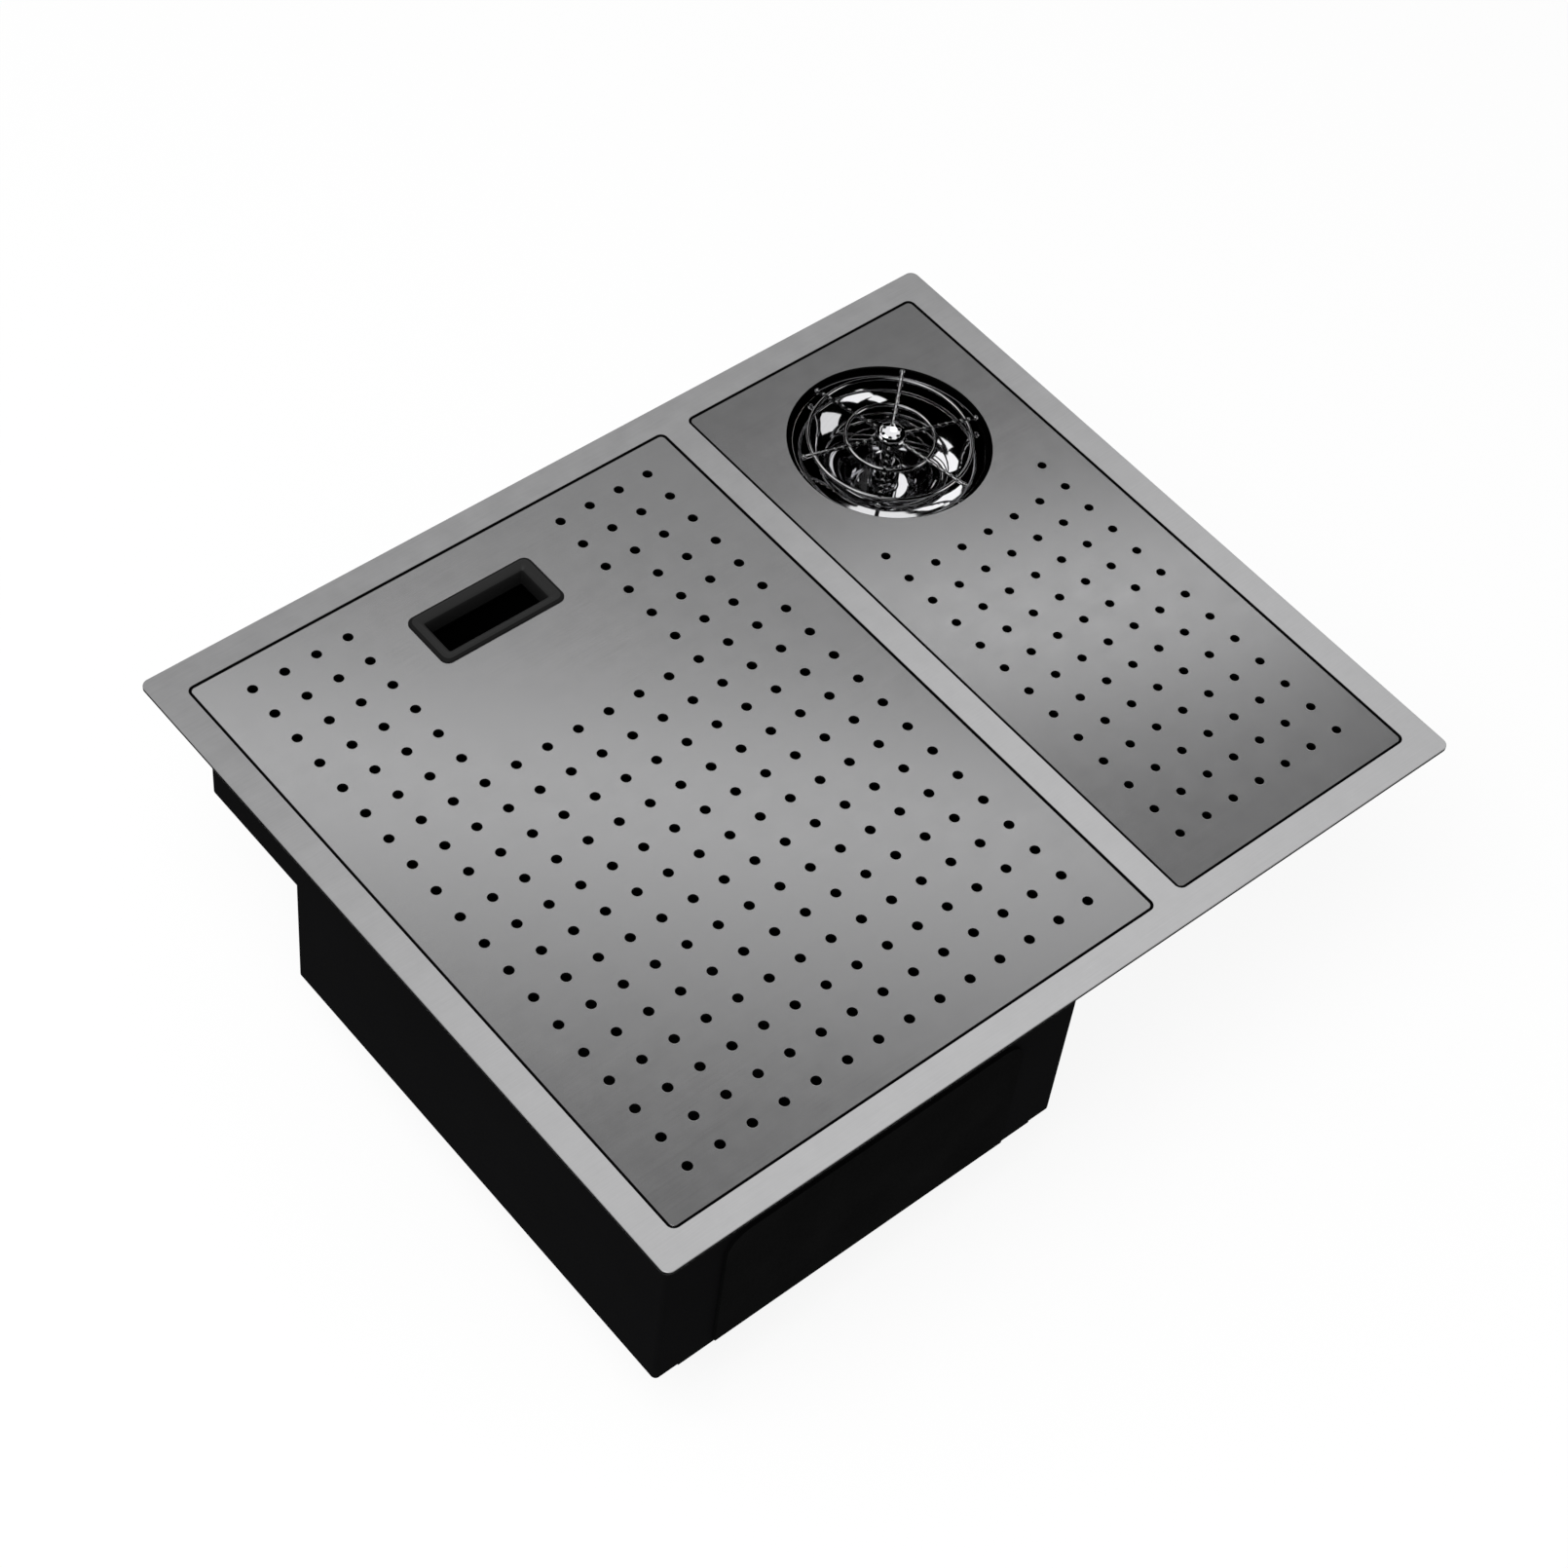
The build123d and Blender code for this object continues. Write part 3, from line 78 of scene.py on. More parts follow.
# Studio
WHITE = (1.0, 1.0, 1.0, 1.0)
SKY_LEVEL = 0.62
FLOOR_HALF, FLOOR_PAINT = 40.0, (0.94, 0.94, 0.94, 1.0)
FLOOR_WHITE_SHARE = 0.88  # of the floor's look that is plain white; the rest takes the shadow
BACKDROP_RADIUS = 14.0
LAMP_WATTS = 4.0  # for each square metre of a lamp at level 1

# Soft lamp that lights all but the polished pieces
KEY_LAMP_ENDS, KEY_LAMP_WIDTH, KEY_LAMP_LEVEL = ((-1.9, -0.1, 2.3), (-0.7, -0.9, 2.3)), 1.3, 7.5

# Lamps that the satin tops show: name, place of each end, width, level and the solid that is lit
TOP_LAMP_HEIGHT = 0.94
TOP_LAMPS = (
    ("main_band", (-0.05, 0.93), (0.80, 0.21), 0.10, 2.30, "main_cover"),
    ("main_soft", (-0.12, 0.83), (0.73, 0.11), 0.22, 1.00, "main_cover"),
    ("main_rear", (0.00, 1.10), (0.85, 0.65), 0.35, 0.55, "main_cover"),
    ("side_band", (0.55, 0.61), (1.10, 0.36), 0.11, 3.80, "side_cover"),
    ("rim_soft", (-0.10, 0.20), (1.20, 0.20), 0.80, 1.05, "rim_frame"),
)

# Windows that the rinser shows: name, azimuth and height of each end, width and level; angles in degrees
WINDOW_DISTANCE = 1.3
HEAD_WINDOWS = (
    ("back_window", (48, 54), (82, 54), 12, 0.8),
    ("low_window", (41, 16), (41, 46), 3, 0.8),
    ("right_window", (59, 24), (66, 46), 6, 0.8),
    ("rear_window", (94, 55), (138, 55), 14, 0.8),
    ("high_window", (138, 72), (176, 72), 8, 0.8),
    ("left_window", (172, 64), (208, 63), 7, 0.8),
    ("front_window", (-66, 24), (-36, 24), 30, 0.8),
)
DISH_WINDOWS = (
    ("dish_front_window", (39.5, 25), (46.3, 25), 14, 0.7),
    ("dish_low_window", (48.8, 27), (58.5, 25), 13, 0.85),
    ("dish_right_window", (75, 18), (110, 19), 20, 0.85),
    ("dish_rear_window", (98, 33), (121, 38), 8, 0.8),
    ("dish_high_window", (-36, 72), (1, 65), 12, 0.8),
    ("dish_top_window", (-84, 79), (-36, 76), 7, 0.8),
    ("dish_left_window", (-26, 40), (0, 40), 20, 0.6),
    ("dish_middle_window", (40.0, 45), (42.2, 45), 5, 0.8),
)
CAP_WINDOWS = (("cap_window", (30, 50), (56, 50), 22, 0.75),)
STAR_WINDOWS = (("star_window", (110, 62), (215, 62), 36, 0.55),)

# Shader numbers
NOISE_LOW, NOISE_HIGH = 0.3, 0.7  # most of a noise lies between them
MIX_FIRST, MIX_SECOND, MIX_RESULT = 6, 7, 2  # a mix node's colour sockets
EDGE_SHADE_GREY, EDGE_ROUGHNESS = 0.005, 0.7  # of the black painted shade on a sheet's cut edges and hole walls, and of the black coating underneath


# Helpers

def feed(tree, socket, value):
    """Links another node's output to a socket, or sets a plain value on it."""
    if isinstance(value, bpy.types.NodeSocket):
        tree.links.new(value, socket)
    else:
        socket.default_value = value


def put(tree, kind, inputs=None, **settings):
    """New node. An input is given by name or number and holds a value or another node's output."""
    made = tree.nodes.new(kind)
    for name, value in settings.items():
        setattr(made, name, value)
    for name, value in (inputs or {}).items():
        feed(tree, made.inputs[name], value)
    return made


def maths(tree, operation, a, b=None, c=None):
    """Result of a maths node."""
    given = {i: value for i, value in enumerate((a, b, c)) if value is not None}
    return put(tree, "ShaderNodeMath", given, operation=operation).outputs[0]


def vector_of(tree, x=0.0, y=0.0, z=0.0):
    """Vector from three numbers or outputs."""
    return put(tree, "ShaderNodeCombineXYZ", {"X": x, "Y": y, "Z": z}).outputs[0]


def parts_of(tree, vector):
    """Outputs X, Y and Z of a vector."""
    return put(tree, "ShaderNodeSeparateXYZ", {0: vector}).outputs


def vector_maths(tree, operation, a, b):
    """Vector that a vector maths node gives."""
    return put(tree, "ShaderNodeVectorMath", {0: a, 1: b}, operation=operation).outputs[0]


def length_of(tree, x, y):
    """Length of a level vector."""
    return put(tree, "ShaderNodeVectorMath", {0: vector_of(tree, x, y)}, operation="LENGTH").outputs["Value"]


def emptied(owner):
    """Node tree of a material or a world, with nothing in it."""
    owner.use_nodes = True
    owner.node_tree.nodes.clear()
    return owner.node_tree


def add_object(name, data):
    """Object for a mesh, a lamp or a camera, in the scene."""
    made = bpy.data.objects.new(name, data)
    bpy.context.scene.collection.objects.link(made)
    return made


def placement(place, *axes):
    """Matrix that puts something at a place with its own X, Y and Z along three axes."""
    return Matrix.Translation(place) @ Matrix(axes).transposed().to_4x4()


def circle_angles(count):
    """Angles of evenly spread places round a circle."""
    return [2 * math.pi * i / count for i in range(count)]


def at_angle(radius, angle, height=0.0):
    """Vector at an angle round the upright axis."""
    return Vector((radius * math.cos(angle), radius * math.sin(angle), height))


# Camera and studio

def place_camera():
    """Camera at the photograph's angle."""
    right = Vector(PICTURE_RIGHT).normalized()
    back = right.cross(Vector(PICTURE_UP)).normalized()
    data = bpy.data.cameras.new("camera")
    data.lens, data.sensor_width, data.sensor_fit = LENS, SENSOR, "HORIZONTAL"
    camera = add_object("camera", data)
    camera.matrix_world = placement(EYE, right, back.cross(right), back)
    bpy.context.scene.camera = camera


def seen_directly(tree):
    """Mask that is 1 for the camera and for what metal and glass show."""
    path = put(tree, "ShaderNodeLightPath").outputs
    first = maths(tree, "MAXIMUM", path["Is Camera Ray"], path["Is Glossy Ray"])
    return maths(tree, "MAXIMUM", first, path["Is Transmission Ray"])


def make_sky():
    """Plain soft daylight, white where it is seen."""
    world = bpy.data.worlds.new("studio")
    tree = emptied(world)
    light = put(tree, "ShaderNodeBackground", {"Color": WHITE, "Strength": SKY_LEVEL})
    shown = put(tree, "ShaderNodeBackground", {"Color": WHITE, "Strength": 1.0})
    mix = put(tree, "ShaderNodeMixShader", {0: seen_directly(tree), 1: light.outputs[0], 2: shown.outputs[0]})
    put(tree, "ShaderNodeOutputWorld", {0: mix.outputs[0]})
    bpy.context.scene.world = world


def make_floor():
    """Pale floor that keeps the sink's shadow."""
    mesh = bpy.data.meshes.new("floor")
    corners = [(x * FLOOR_HALF, y * FLOOR_HALF, FLOOR_Z) for x, y in ((-1, -1), (1, -1), (1, 1), (-1, 1))]
    mesh.from_pydata(corners, [], [(0, 1, 2, 3)])
    material = bpy.data.materials.new("floor_paint")
    tree = emptied(material)
    paint = put(tree, "ShaderNodeBsdfDiffuse", {"Color": FLOOR_PAINT})
    white = put(tree, "ShaderNodeEmission", {"Color": WHITE, "Strength": 1.0})
    share = maths(tree, "MULTIPLY", seen_directly(tree), FLOOR_WHITE_SHARE)
    mix = put(tree, "ShaderNodeMixShader", {0: share, 1: paint.outputs[0], 2: white.outputs[0]})
    put(tree, "ShaderNodeOutputMaterial", {0: mix.outputs[0]})
    mesh.materials.append(material)
    floor = add_object("floor", mesh)


def choose_lit(lamp, only=(), left_out=()):
    """Lets a lamp light some pieces alone, or all but some."""
    lit = bpy.data.collections.new(lamp.name + "_lights")
    for piece in [*only, *left_out]:
        lit.objects.link(piece)
    if left_out:
        for entry in lit.collection_objects:
            entry.light_linking.link_state = "EXCLUDE"
    lamp.light_linking.receiver_collection = lit


def make_backdrop(kept_dark):
    """White dome that the camera and the satin steel see; daylight passes it."""
    mesh = bpy.data.meshes.new("backdrop")
    shape = bmesh.new()
    bmesh.ops.create_icosphere(shape, subdivisions=4, radius=BACKDROP_RADIUS)
    bmesh.ops.reverse_faces(shape, faces=shape.faces)
    shape.to_mesh(mesh)
    shape.free()
    material = bpy.data.materials.new("backdrop_white")
    tree = emptied(material)
    material.cycles.emission_sampling = "NONE"
    white = put(tree, "ShaderNodeEmission", {"Color": WHITE, "Strength": 1.0})
    put(tree, "ShaderNodeOutputMaterial", {0: white.outputs[0]})
    mesh.materials.append(material)
    backdrop = add_object("backdrop", mesh)
    backdrop.visible_diffuse = False
    backdrop.visible_shadow = False
    choose_lit(backdrop, left_out=kept_dark)


def lamp_between(name, start, end, width, target, level, only=(), left_out=()):
    """Rectangular lamp from start to end that faces its target."""
    along = Vector(end) - Vector(start)
    middle = (Vector(start) + Vector(end)) / 2
    data = bpy.data.lights.new(name, "AREA")
    data.shape, data.size, data.size_y = "RECTANGLE", along.length, width
    data.energy = LAMP_WATTS * along.length * width * level
    lamp = add_object(name, data)
    lengthwise = along.normalized()
    across = (middle - Vector(target)).cross(along).normalized()
    lamp.matrix_world = placement(middle, lengthwise, across, lengthwise.cross(across))
    lamp.visible_camera = False
    choose_lit(lamp, only, left_out)


def window(name, start, end, width, level, only):
    """Lamp that the rinser's pieces show from one direction to another."""
    ends = []
    for azimuth, height in (start, end):
        turn, rise = math.radians(azimuth), math.radians(height)
        ends.append(RINSER + at_angle(math.cos(rise), turn, math.sin(rise)) * WINDOW_DISTANCE)
    width = 2 * WINDOW_DISTANCE * math.tan(math.radians(width / 2))
    lamp_between(name, *ends, width, RINSER, level, only=only)


def light_sink(star, cap, valve):
    """Backdrop and lamps; the rinser's polished pieces show windows instead of them."""
    dish, stem = NODES["rinser_dish"], NODES["spray_stem"]
    polished = [dish, star, cap, stem, valve]
    make_backdrop(polished)
    sink_middle = (0, 0, 0)
    lamp_between("key_lamp", *KEY_LAMP_ENDS, KEY_LAMP_WIDTH, sink_middle, KEY_LAMP_LEVEL, left_out=polished)
    for name, start, end, width, level, lit in TOP_LAMPS:
        start, end = (*start, TOP_LAMP_HEIGHT), (*end, TOP_LAMP_HEIGHT)
        lamp_between(name, start, end, width, sink_middle, level, only=[NODES[lit]])
    for windows, lit in ((HEAD_WINDOWS, [star, cap]), (DISH_WINDOWS, [dish, valve, stem]),
                         (CAP_WINDOWS, [cap]), (STAR_WINDOWS, [star])):
        for name, start, end, width, level in windows:
            window(name, start, end, width, level, lit)


# Shader groups

def new_group(name, inputs, outputs):
    """Shader node group with its entry and its end; it takes a place and the inputs, and gives numbers."""
    group = bpy.data.node_groups.new(name, "ShaderNodeTree")
    for label, value in (("Vector", (0, 0, 0)), *inputs):
        kind = "NodeSocketVector" if isinstance(value, tuple) else "NodeSocketFloat"
        group.interface.new_socket(name=label, in_out="INPUT", socket_type=kind).default_value = value
    for label in outputs:
        group.interface.new_socket(name=label, in_out="OUTPUT", socket_type="NodeSocketFloat")
    return group, put(group, "NodeGroupInput").outputs, put(group, "NodeGroupOutput").inputs


def noise(tree, vector, scale, detail, roughness):
    """Value of a noise texture."""
    sockets = {"Vector": vector, "Scale": scale, "Detail": detail, "Roughness": roughness}
    return put(tree, "ShaderNodeTexNoise", sockets).outputs["Fac"]


def spread_noise(tree, value, low=0.0, high=1.0):
    """Noise spread out from low to high."""
    sockets = {"Value": value, "From Min": NOISE_LOW, "From Max": NOISE_HIGH, "To Min": low, "To Max": high}
    return put(tree, "ShaderNodeMapRange", sockets).outputs["Result"]


def both_noises(tree, first, share, second):
    """Share of one noise and the rest of another."""
    return maths(tree, "MULTIPLY_ADD", first, share, maths(tree, "MULTIPLY", second, 1.0 - share))


def blend_colour(tree, share, first, second):
    """Mix of two colours."""
    sockets = {0: share, MIX_FIRST: first, MIX_SECOND: second}
    return put(tree, "ShaderNodeMix", sockets, data_type="RGBA").outputs[MIX_RESULT]


def brushed_marks_group():
    """Long fine scratches of a brushed sheet, and the slow mottling under them."""
    sizes = (("Across", 1500.0), ("Along", 25.0), ("Mottle", 60.0))
    group, given, made = new_group("brushed_marks", sizes, ("Marks", "Mottling"))
    stretch = vector_of(group, given["Along"], given["Across"], given["Across"])
    place = vector_maths(group, "MULTIPLY", given["Vector"], stretch)
    group.links.new(noise(group, place, 1.0, 3.0, 0.6), made["Marks"])
    group.links.new(noise(group, given["Vector"], given["Mottle"], 3.0, 0.6), made["Mottling"])
    return group


def coat_grain_group():
    """Fine pebbled grain of paint, rubber or moulded plastic, and slow patches of handling."""
    sizes = (("Grain Scale", 900.0), ("Patch Scale", 14.0))
    group, given, made = new_group("coat_grain", sizes, ("Grain", "Patches"))
    group.links.new(noise(group, given["Vector"], given["Grain Scale"], 2.0, 0.6), made["Grain"])
    group.links.new(noise(group, given["Vector"], given["Patch Scale"], 4.0, 0.6), made["Patches"])
    return group


def turned_marks_group():
    """Fine rings that a lathe leaves round an upright axis."""
    sizes = (("Centre", (0, 0, 0)), ("Fineness", 2500.0), ("Smudge Scale", 35.0))
    group, given, made = new_group("turned_marks", sizes, ("Rings", "Smudges"))
    local = vector_maths(group, "SUBTRACT", given["Vector"], given["Centre"])
    parts = parts_of(group, local)
    across = vector_of(group, length_of(group, parts["X"], parts["Y"]), parts["Z"])
    group.links.new(noise(group, across, given["Fineness"], 3.0, 0.7), made["Rings"])
    group.links.new(noise(group, local, given["Smudge Scale"], 3.0, 0.6), made["Smudges"])
    return group


def thread_group():
    """Height of a screw thread round an upright axis, below a height."""
    sizes = (("Centre", (0, 0, 0)), ("Pitch", OUTLET_PITCH), ("Top", 0.0))
    group, given, made = new_group("screw_thread", sizes, ("Height",))
    parts = parts_of(group, vector_maths(group, "SUBTRACT", given["Vector"], given["Centre"]))
    turn = maths(group, "DIVIDE", maths(group, "ARCTAN2", parts["Y"], parts["X"]), 2 * math.pi)
    phase = maths(group, "ADD", maths(group, "DIVIDE", parts["Z"], given["Pitch"]), turn)
    wave = maths(group, "MULTIPLY", maths(group, "PINGPONG", phase, 0.5), 2.0)
    below = maths(group, "LESS_THAN", parts["Z"], given["Top"])
    group.links.new(maths(group, "MULTIPLY", wave, below), made["Height"])
    return group


BRUSHED_MARKS = brushed_marks_group()
COAT_GRAIN = coat_grain_group()
TURNED_MARKS = turned_marks_group()
SCREW_THREAD = thread_group()


# Materials

def new_material(name):
    """Material with a Principled shader, and the place in Object coordinates."""
    material = bpy.data.materials.new(name)
    tree = emptied(material)
    surface = put(tree, "ShaderNodeBsdfPrincipled")
    put(tree, "ShaderNodeOutputMaterial", {0: surface.outputs[0]})
    return material, tree, surface, put(tree, "ShaderNodeTexCoord").outputs["Object"]


def place_group(tree, group, vector, **values):
    """Outputs of a placed group; a value's name has an underscore where the input's name has a space."""
    sockets = {name.replace("_", " "): value for name, value in values.items()}
    return put(tree, "ShaderNodeGroup", {"Vector": vector, **sockets}, node_tree=group).outputs


def set_surface(tree, surface, colour, roughness, height, depth, metallic=None, specular=None):
    """Gives the shader its patterns, with the height as bumps of a depth in metres."""
    bump = put(tree, "ShaderNodeBump", {"Height": height, "Distance": depth, "Strength": 1.0})
    looks = {"Base Color": colour, "Roughness": roughness, "Metallic": metallic,
             "Specular IOR Level": specular, "Normal": bump.outputs[0]}
    for name, value in looks.items():
        if value is not None:
            feed(tree, surface.inputs[name], value)


def grey(level, tint=0.0):
    """Grey with a little blue."""
    return (level, level, level * (1.0 + tint), 1.0)


def coat_and_shade_below(tree, place, top, inside=()):
    """Mask of what lies below a height, and within half a length and half a width where these are given."""
    parts = parts_of(tree, place)
    mask = maths(tree, "LESS_THAN", parts["Z"], top)
    for axis, limit in zip("XY", inside):
        near = maths(tree, "LESS_THAN", maths(tree, "ABSOLUTE", parts[axis]), limit)
        mask = maths(tree, "MULTIPLY", mask, near)
    return mask


def cover_edge_shade(tree, place, width):
    """Mask of a cover's outermost strip, painted dark as the shade beside the seam; it follows the round
    corners.
    """
    parts = parts_of(tree, place)

    def past(axis, middle, half):
        away = maths(tree, "ABSOLUTE", maths(tree, "SUBTRACT", parts[axis], middle))
        return maths(tree, "MAXIMUM", maths(tree, "SUBTRACT", away, half - COVER_CORNER), 0.0)

    past_y = past("Y", 0.0, COVER_HALF_WIDTH)
    past_x = [past("X", (low + high) / 2, (high - low) / 2) for low, high in COVER_ENDS]
    reaches = [length_of(tree, x, past_y) for x in past_x]
    return maths(tree, "GREATER_THAN", maths(tree, "MINIMUM", *reaches), COVER_CORNER - width)


def brushed_sheet(name, dark, light, roughness, coat_and_shade_top, coat_and_shade_inside=(), edge_shade_width=0.0, side_shade_foot=None):
    """Brushed steel whose cut edges and hole walls are painted black as shade, and whose underside has the
    body's black coating.

    The dark edge is the width of a strip of painted shade on a cover's top, beside the seam. Between the dark
    side's height and the top height painted shade covers the whole length and width, so that the cut sides are
    black.
    """
    material, tree, surface, place = new_material(name)
    marks = place_group(tree, BRUSHED_MARKS, place)
    tone = both_noises(tree, marks["Mottling"], 0.5, marks["Marks"])
    steel = blend_colour(tree, spread_noise(tree, tone), grey(dark, 0.01), grey(light, 0.01))
    rough = spread_noise(tree, tone, roughness - 0.03, roughness + 0.04)
    # cut edges and hole walls get painted shade in black; the underside gets the black coating
    coat_and_shade = coat_and_shade_below(tree, place, coat_and_shade_top, coat_and_shade_inside)
    # a thin strip of painted shade along a cover's edge, beside the seam
    if edge_shade_width:
        coat_and_shade = maths(tree, "MAXIMUM", coat_and_shade, cover_edge_shade(tree, place, edge_shade_width))
    # the cut sides, painted black as shade
    if side_shade_foot is not None:
        below_top, below_side = (coat_and_shade_below(tree, place, top) for top in (coat_and_shade_top, side_shade_foot))
        coat_and_shade = maths(tree, "MAXIMUM", coat_and_shade, maths(tree, "SUBTRACT", below_top, below_side))
    set_surface(tree, surface,
                colour=blend_colour(tree, coat_and_shade, steel, grey(EDGE_SHADE_GREY)),
                roughness=maths(tree, "MAXIMUM", rough, maths(tree, "MULTIPLY", coat_and_shade, EDGE_ROUGHNESS)),
                height=marks["Marks"], depth=0.000004,
                metallic=maths(tree, "SUBTRACT", 1.0, coat_and_shade), specular=0.002)
    return material


def black_coat():
    """Matt black coating with a fine pebbled grain and faint patches."""
    material, tree, surface, place = new_material("black_coat")
    grain = place_group(tree, COAT_GRAIN, place, Grain_Scale=1100.0, Patch_Scale=9.0)
    tone = both_noises(tree, grain["Patches"], 0.7, grain["Grain"])
    set_surface(tree, surface,
                colour=blend_colour(tree, spread_noise(tree, tone), grey(0.0028, 0.05), grey(0.0048, 0.05)),
                roughness=spread_noise(tree, grain["Patches"], 0.52, 0.64),
                height=grain["Grain"], depth=0.00003, specular=0.001)
    return material


def pebbled(name, dark, light, rough_low, rough_high, grain_scale, depth=0.00004, specular=0.3):
    """Moulded or rubbery surface."""
    material, tree, surface, place = new_material(name)
    grain = place_group(tree, COAT_GRAIN, place, Grain_Scale=grain_scale, Patch_Scale=20.0)
    tone = both_noises(tree, grain["Patches"], 0.6, grain["Grain"])
    set_surface(tree, surface,
                colour=blend_colour(tree, spread_noise(tree, tone), grey(dark), grey(light)),
                roughness=spread_noise(tree, grain["Patches"], rough_low, rough_high),
                height=grain["Grain"], depth=depth, specular=specular)
    return material


def waste_plastic():
    """Moulded black plastic with a thread on the waste's outlet."""
    material, tree, surface, place = new_material("waste_plastic")
    grain = place_group(tree, COAT_GRAIN, place, Grain_Scale=1200.0, Patch_Scale=20.0)
    thread = place_group(tree, SCREW_THREAD, place, Centre=DRAIN, Pitch=OUTLET_PITCH, Top=OUTLET_TOP)
    set_surface(tree, surface,
                colour=blend_colour(tree, spread_noise(tree, grain["Patches"]), grey(0.022), grey(0.032)),
                roughness=spread_noise(tree, grain["Patches"], 0.4, 0.55),
                height=maths(tree, "MULTIPLY_ADD", grain["Grain"], 0.04, thread["Height"]), depth=0.0005,
                specular=0.3)
    return material


def turned_metal(name, dark, light, rough_low, rough_high, centre, fineness=2500.0, depth=0.000006):
    """Metal with the fine rings of a lathe round an upright axis."""
    material, tree, surface, place = new_material(name)
    marks = place_group(tree, TURNED_MARKS, place, Centre=centre, Fineness=fineness)
    tone = both_noises(tree, marks["Rings"], 0.6, marks["Smudges"])
    set_surface(tree, surface,
                colour=blend_colour(tree, spread_noise(tree, tone), dark, light),
                roughness=spread_noise(tree, marks["Smudges"], rough_low, rough_high),
                height=marks["Rings"], depth=depth, metallic=1.0)
    return material


# Rim and covers: cut edges, hole walls and the sides of the seams are painted black as shade
RIM_SATIN = brushed_sheet("rim_satin", 0.215, 0.252, 0.36, -0.0004, (0.2578, 0.2078), side_shade_foot=-0.00195)
# covers: a 0.2 mm strip at the edge painted dark as the seam's shade
COVER_SATIN = brushed_sheet("cover_satin", 0.120, 0.134, 0.23, -0.0008, edge_shade_width=0.0002)
BLACK_COAT = black_coat()
DAMPING_PAD = pebbled("damping_pad", 0.0035, 0.0060, 0.75, 0.9, 500.0, 0.0001, 0.0)
# black rubber of the seals, also used as painted shade on the finger frame's edges and in the cap's jets
BLACK_RUBBER_AND_SHADE = pebbled("black_rubber", 0.005, 0.008, 0.6, 0.75, 1500.0, specular=0.05)
SILICONE = pebbled("silicone", 0.02, 0.035, 0.45, 0.6, 1500.0)
PULL_PLASTIC = pebbled("pull_plastic", 0.011, 0.014, 0.45, 0.55, 1800.0, 0.00002, 0.12)
WASTE_PLASTIC = waste_plastic()
CHROME = turned_metal("chrome", grey(0.80, 0.02), grey(0.86, 0.02), 0.03, 0.07, RINSER, 1200.0, 5e-7)
STAR_METAL = turned_metal("star_metal", grey(0.70, 0.02), grey(0.76, 0.02), 0.06, 0.12, RINSER, 1200.0, 5e-7)
# hole lips: steel painted lighter than the covers' as a highlight round each hole
HOLE_LIP_HIGHLIGHT = turned_metal("hole_lip_highlight", grey(0.26), grey(0.30), 0.25, 0.35, (0, 0, 0))
# drain parts under the covers: steel painted near black as the shade that lies under the covers
DRAIN_STEEL_PAINTED_SHADE = turned_metal("drain_steel_painted_shade", grey(0.020), grey(0.030), 0.25, 0.35, DRAIN)
PLAIN_STEEL = turned_metal("plain_steel", grey(0.50), grey(0.58), 0.25, 0.35, RINSER)
BRASS = turned_metal("brass", (0.66, 0.50, 0.26, 1.0), (0.78, 0.60, 0.33, 1.0), 0.2, 0.32, RINSER, 1600.0)

FINISHES = {
    RIM_SATIN: ["rim_frame"],
    COVER_SATIN: ["main_cover", "side_cover"],
    BLACK_COAT: ["seat_frame", "bowl_shell", "side_tray", "cover_rail"],
    DAMPING_PAD: ["front_sound_pad", "rear_sound_pad", "floor_sound_pad"],
    SILICONE: ["main_cover_cushions", "side_cover_cushions"],
    PULL_PLASTIC: ["finger_pull_frame"],
    CHROME: ["rinser_dish", "valve_body", "spray_star", "spray_cap", "spray_stem"],
    BLACK_RUBBER_AND_SHADE: ["dish_gasket", "neck_ring", "poppet_seal", "inlet_washer", "under_washer",
                   "drain_top_seal", "drain_under_seal", "basket_seal", "overflow_seal"],
    DRAIN_STEEL_PAINTED_SHADE: ["drain_cup", "clamp_screw", "strainer_basket", "basket_knob", "overflow_grille",
                  "overflow_screw"],
    PLAIN_STEEL: ["return_spring", "plate_washer"],
    BRASS: ["inlet_nipple", "shank_nut"],
    WASTE_PLASTIC: ["drain_housing", "overflow_elbow", "overflow_pipe"],
}


def finish_nodes():
    """Gives each carried-over solid its material."""
    for material, names in FINISHES.items():
        for name in names:
            slots = NODES[name].material_slots
            if not slots:
                NODES[name].data.materials.append(material)
            for place in slots:
                place.material = material


# Shapes

# Covers' drain holes: radii, outermost centres, and the plain field round the finger opening; counts of
# columns beside and across that field, of rows before and beside it, and of the narrow cover's columns and rows
COVER_TOP = -0.0003
MAIN_HOLE, SIDE_HOLE = 0.0030, 0.00275
MAIN_HOLES_X, MAIN_HOLES_Y = (-0.2285, 0.0407), (-0.1831, 0.1869)
PLAIN_FIELD_X, PLAIN_FIELD_Y = (-0.1665, -0.0215), 0.0637
SIDE_HOLES_X, SIDE_HOLES_Y, SIDE_LAST_ROW_Y = (0.1114, 0.2312), (-0.1799, 0.0406), 0.0606
COLUMNS_BESIDE, COLUMNS_ACROSS, ROWS_BEFORE, ROWS_BESIDE = 4, 8, 13, 7
SIDE_COLUMNS, SIDE_ROWS = 7, 12

# Rolled lip of a hole: its section goes outwards and up, in shares of the width and the rise
LIP_SIDES, LIP_WIDTH, LIP_RISE = 16, 0.0005, 0.00006
LIP_SECTION = ((-0.1, -4.0), (0.3, 1.0), (1.0, 0.0))

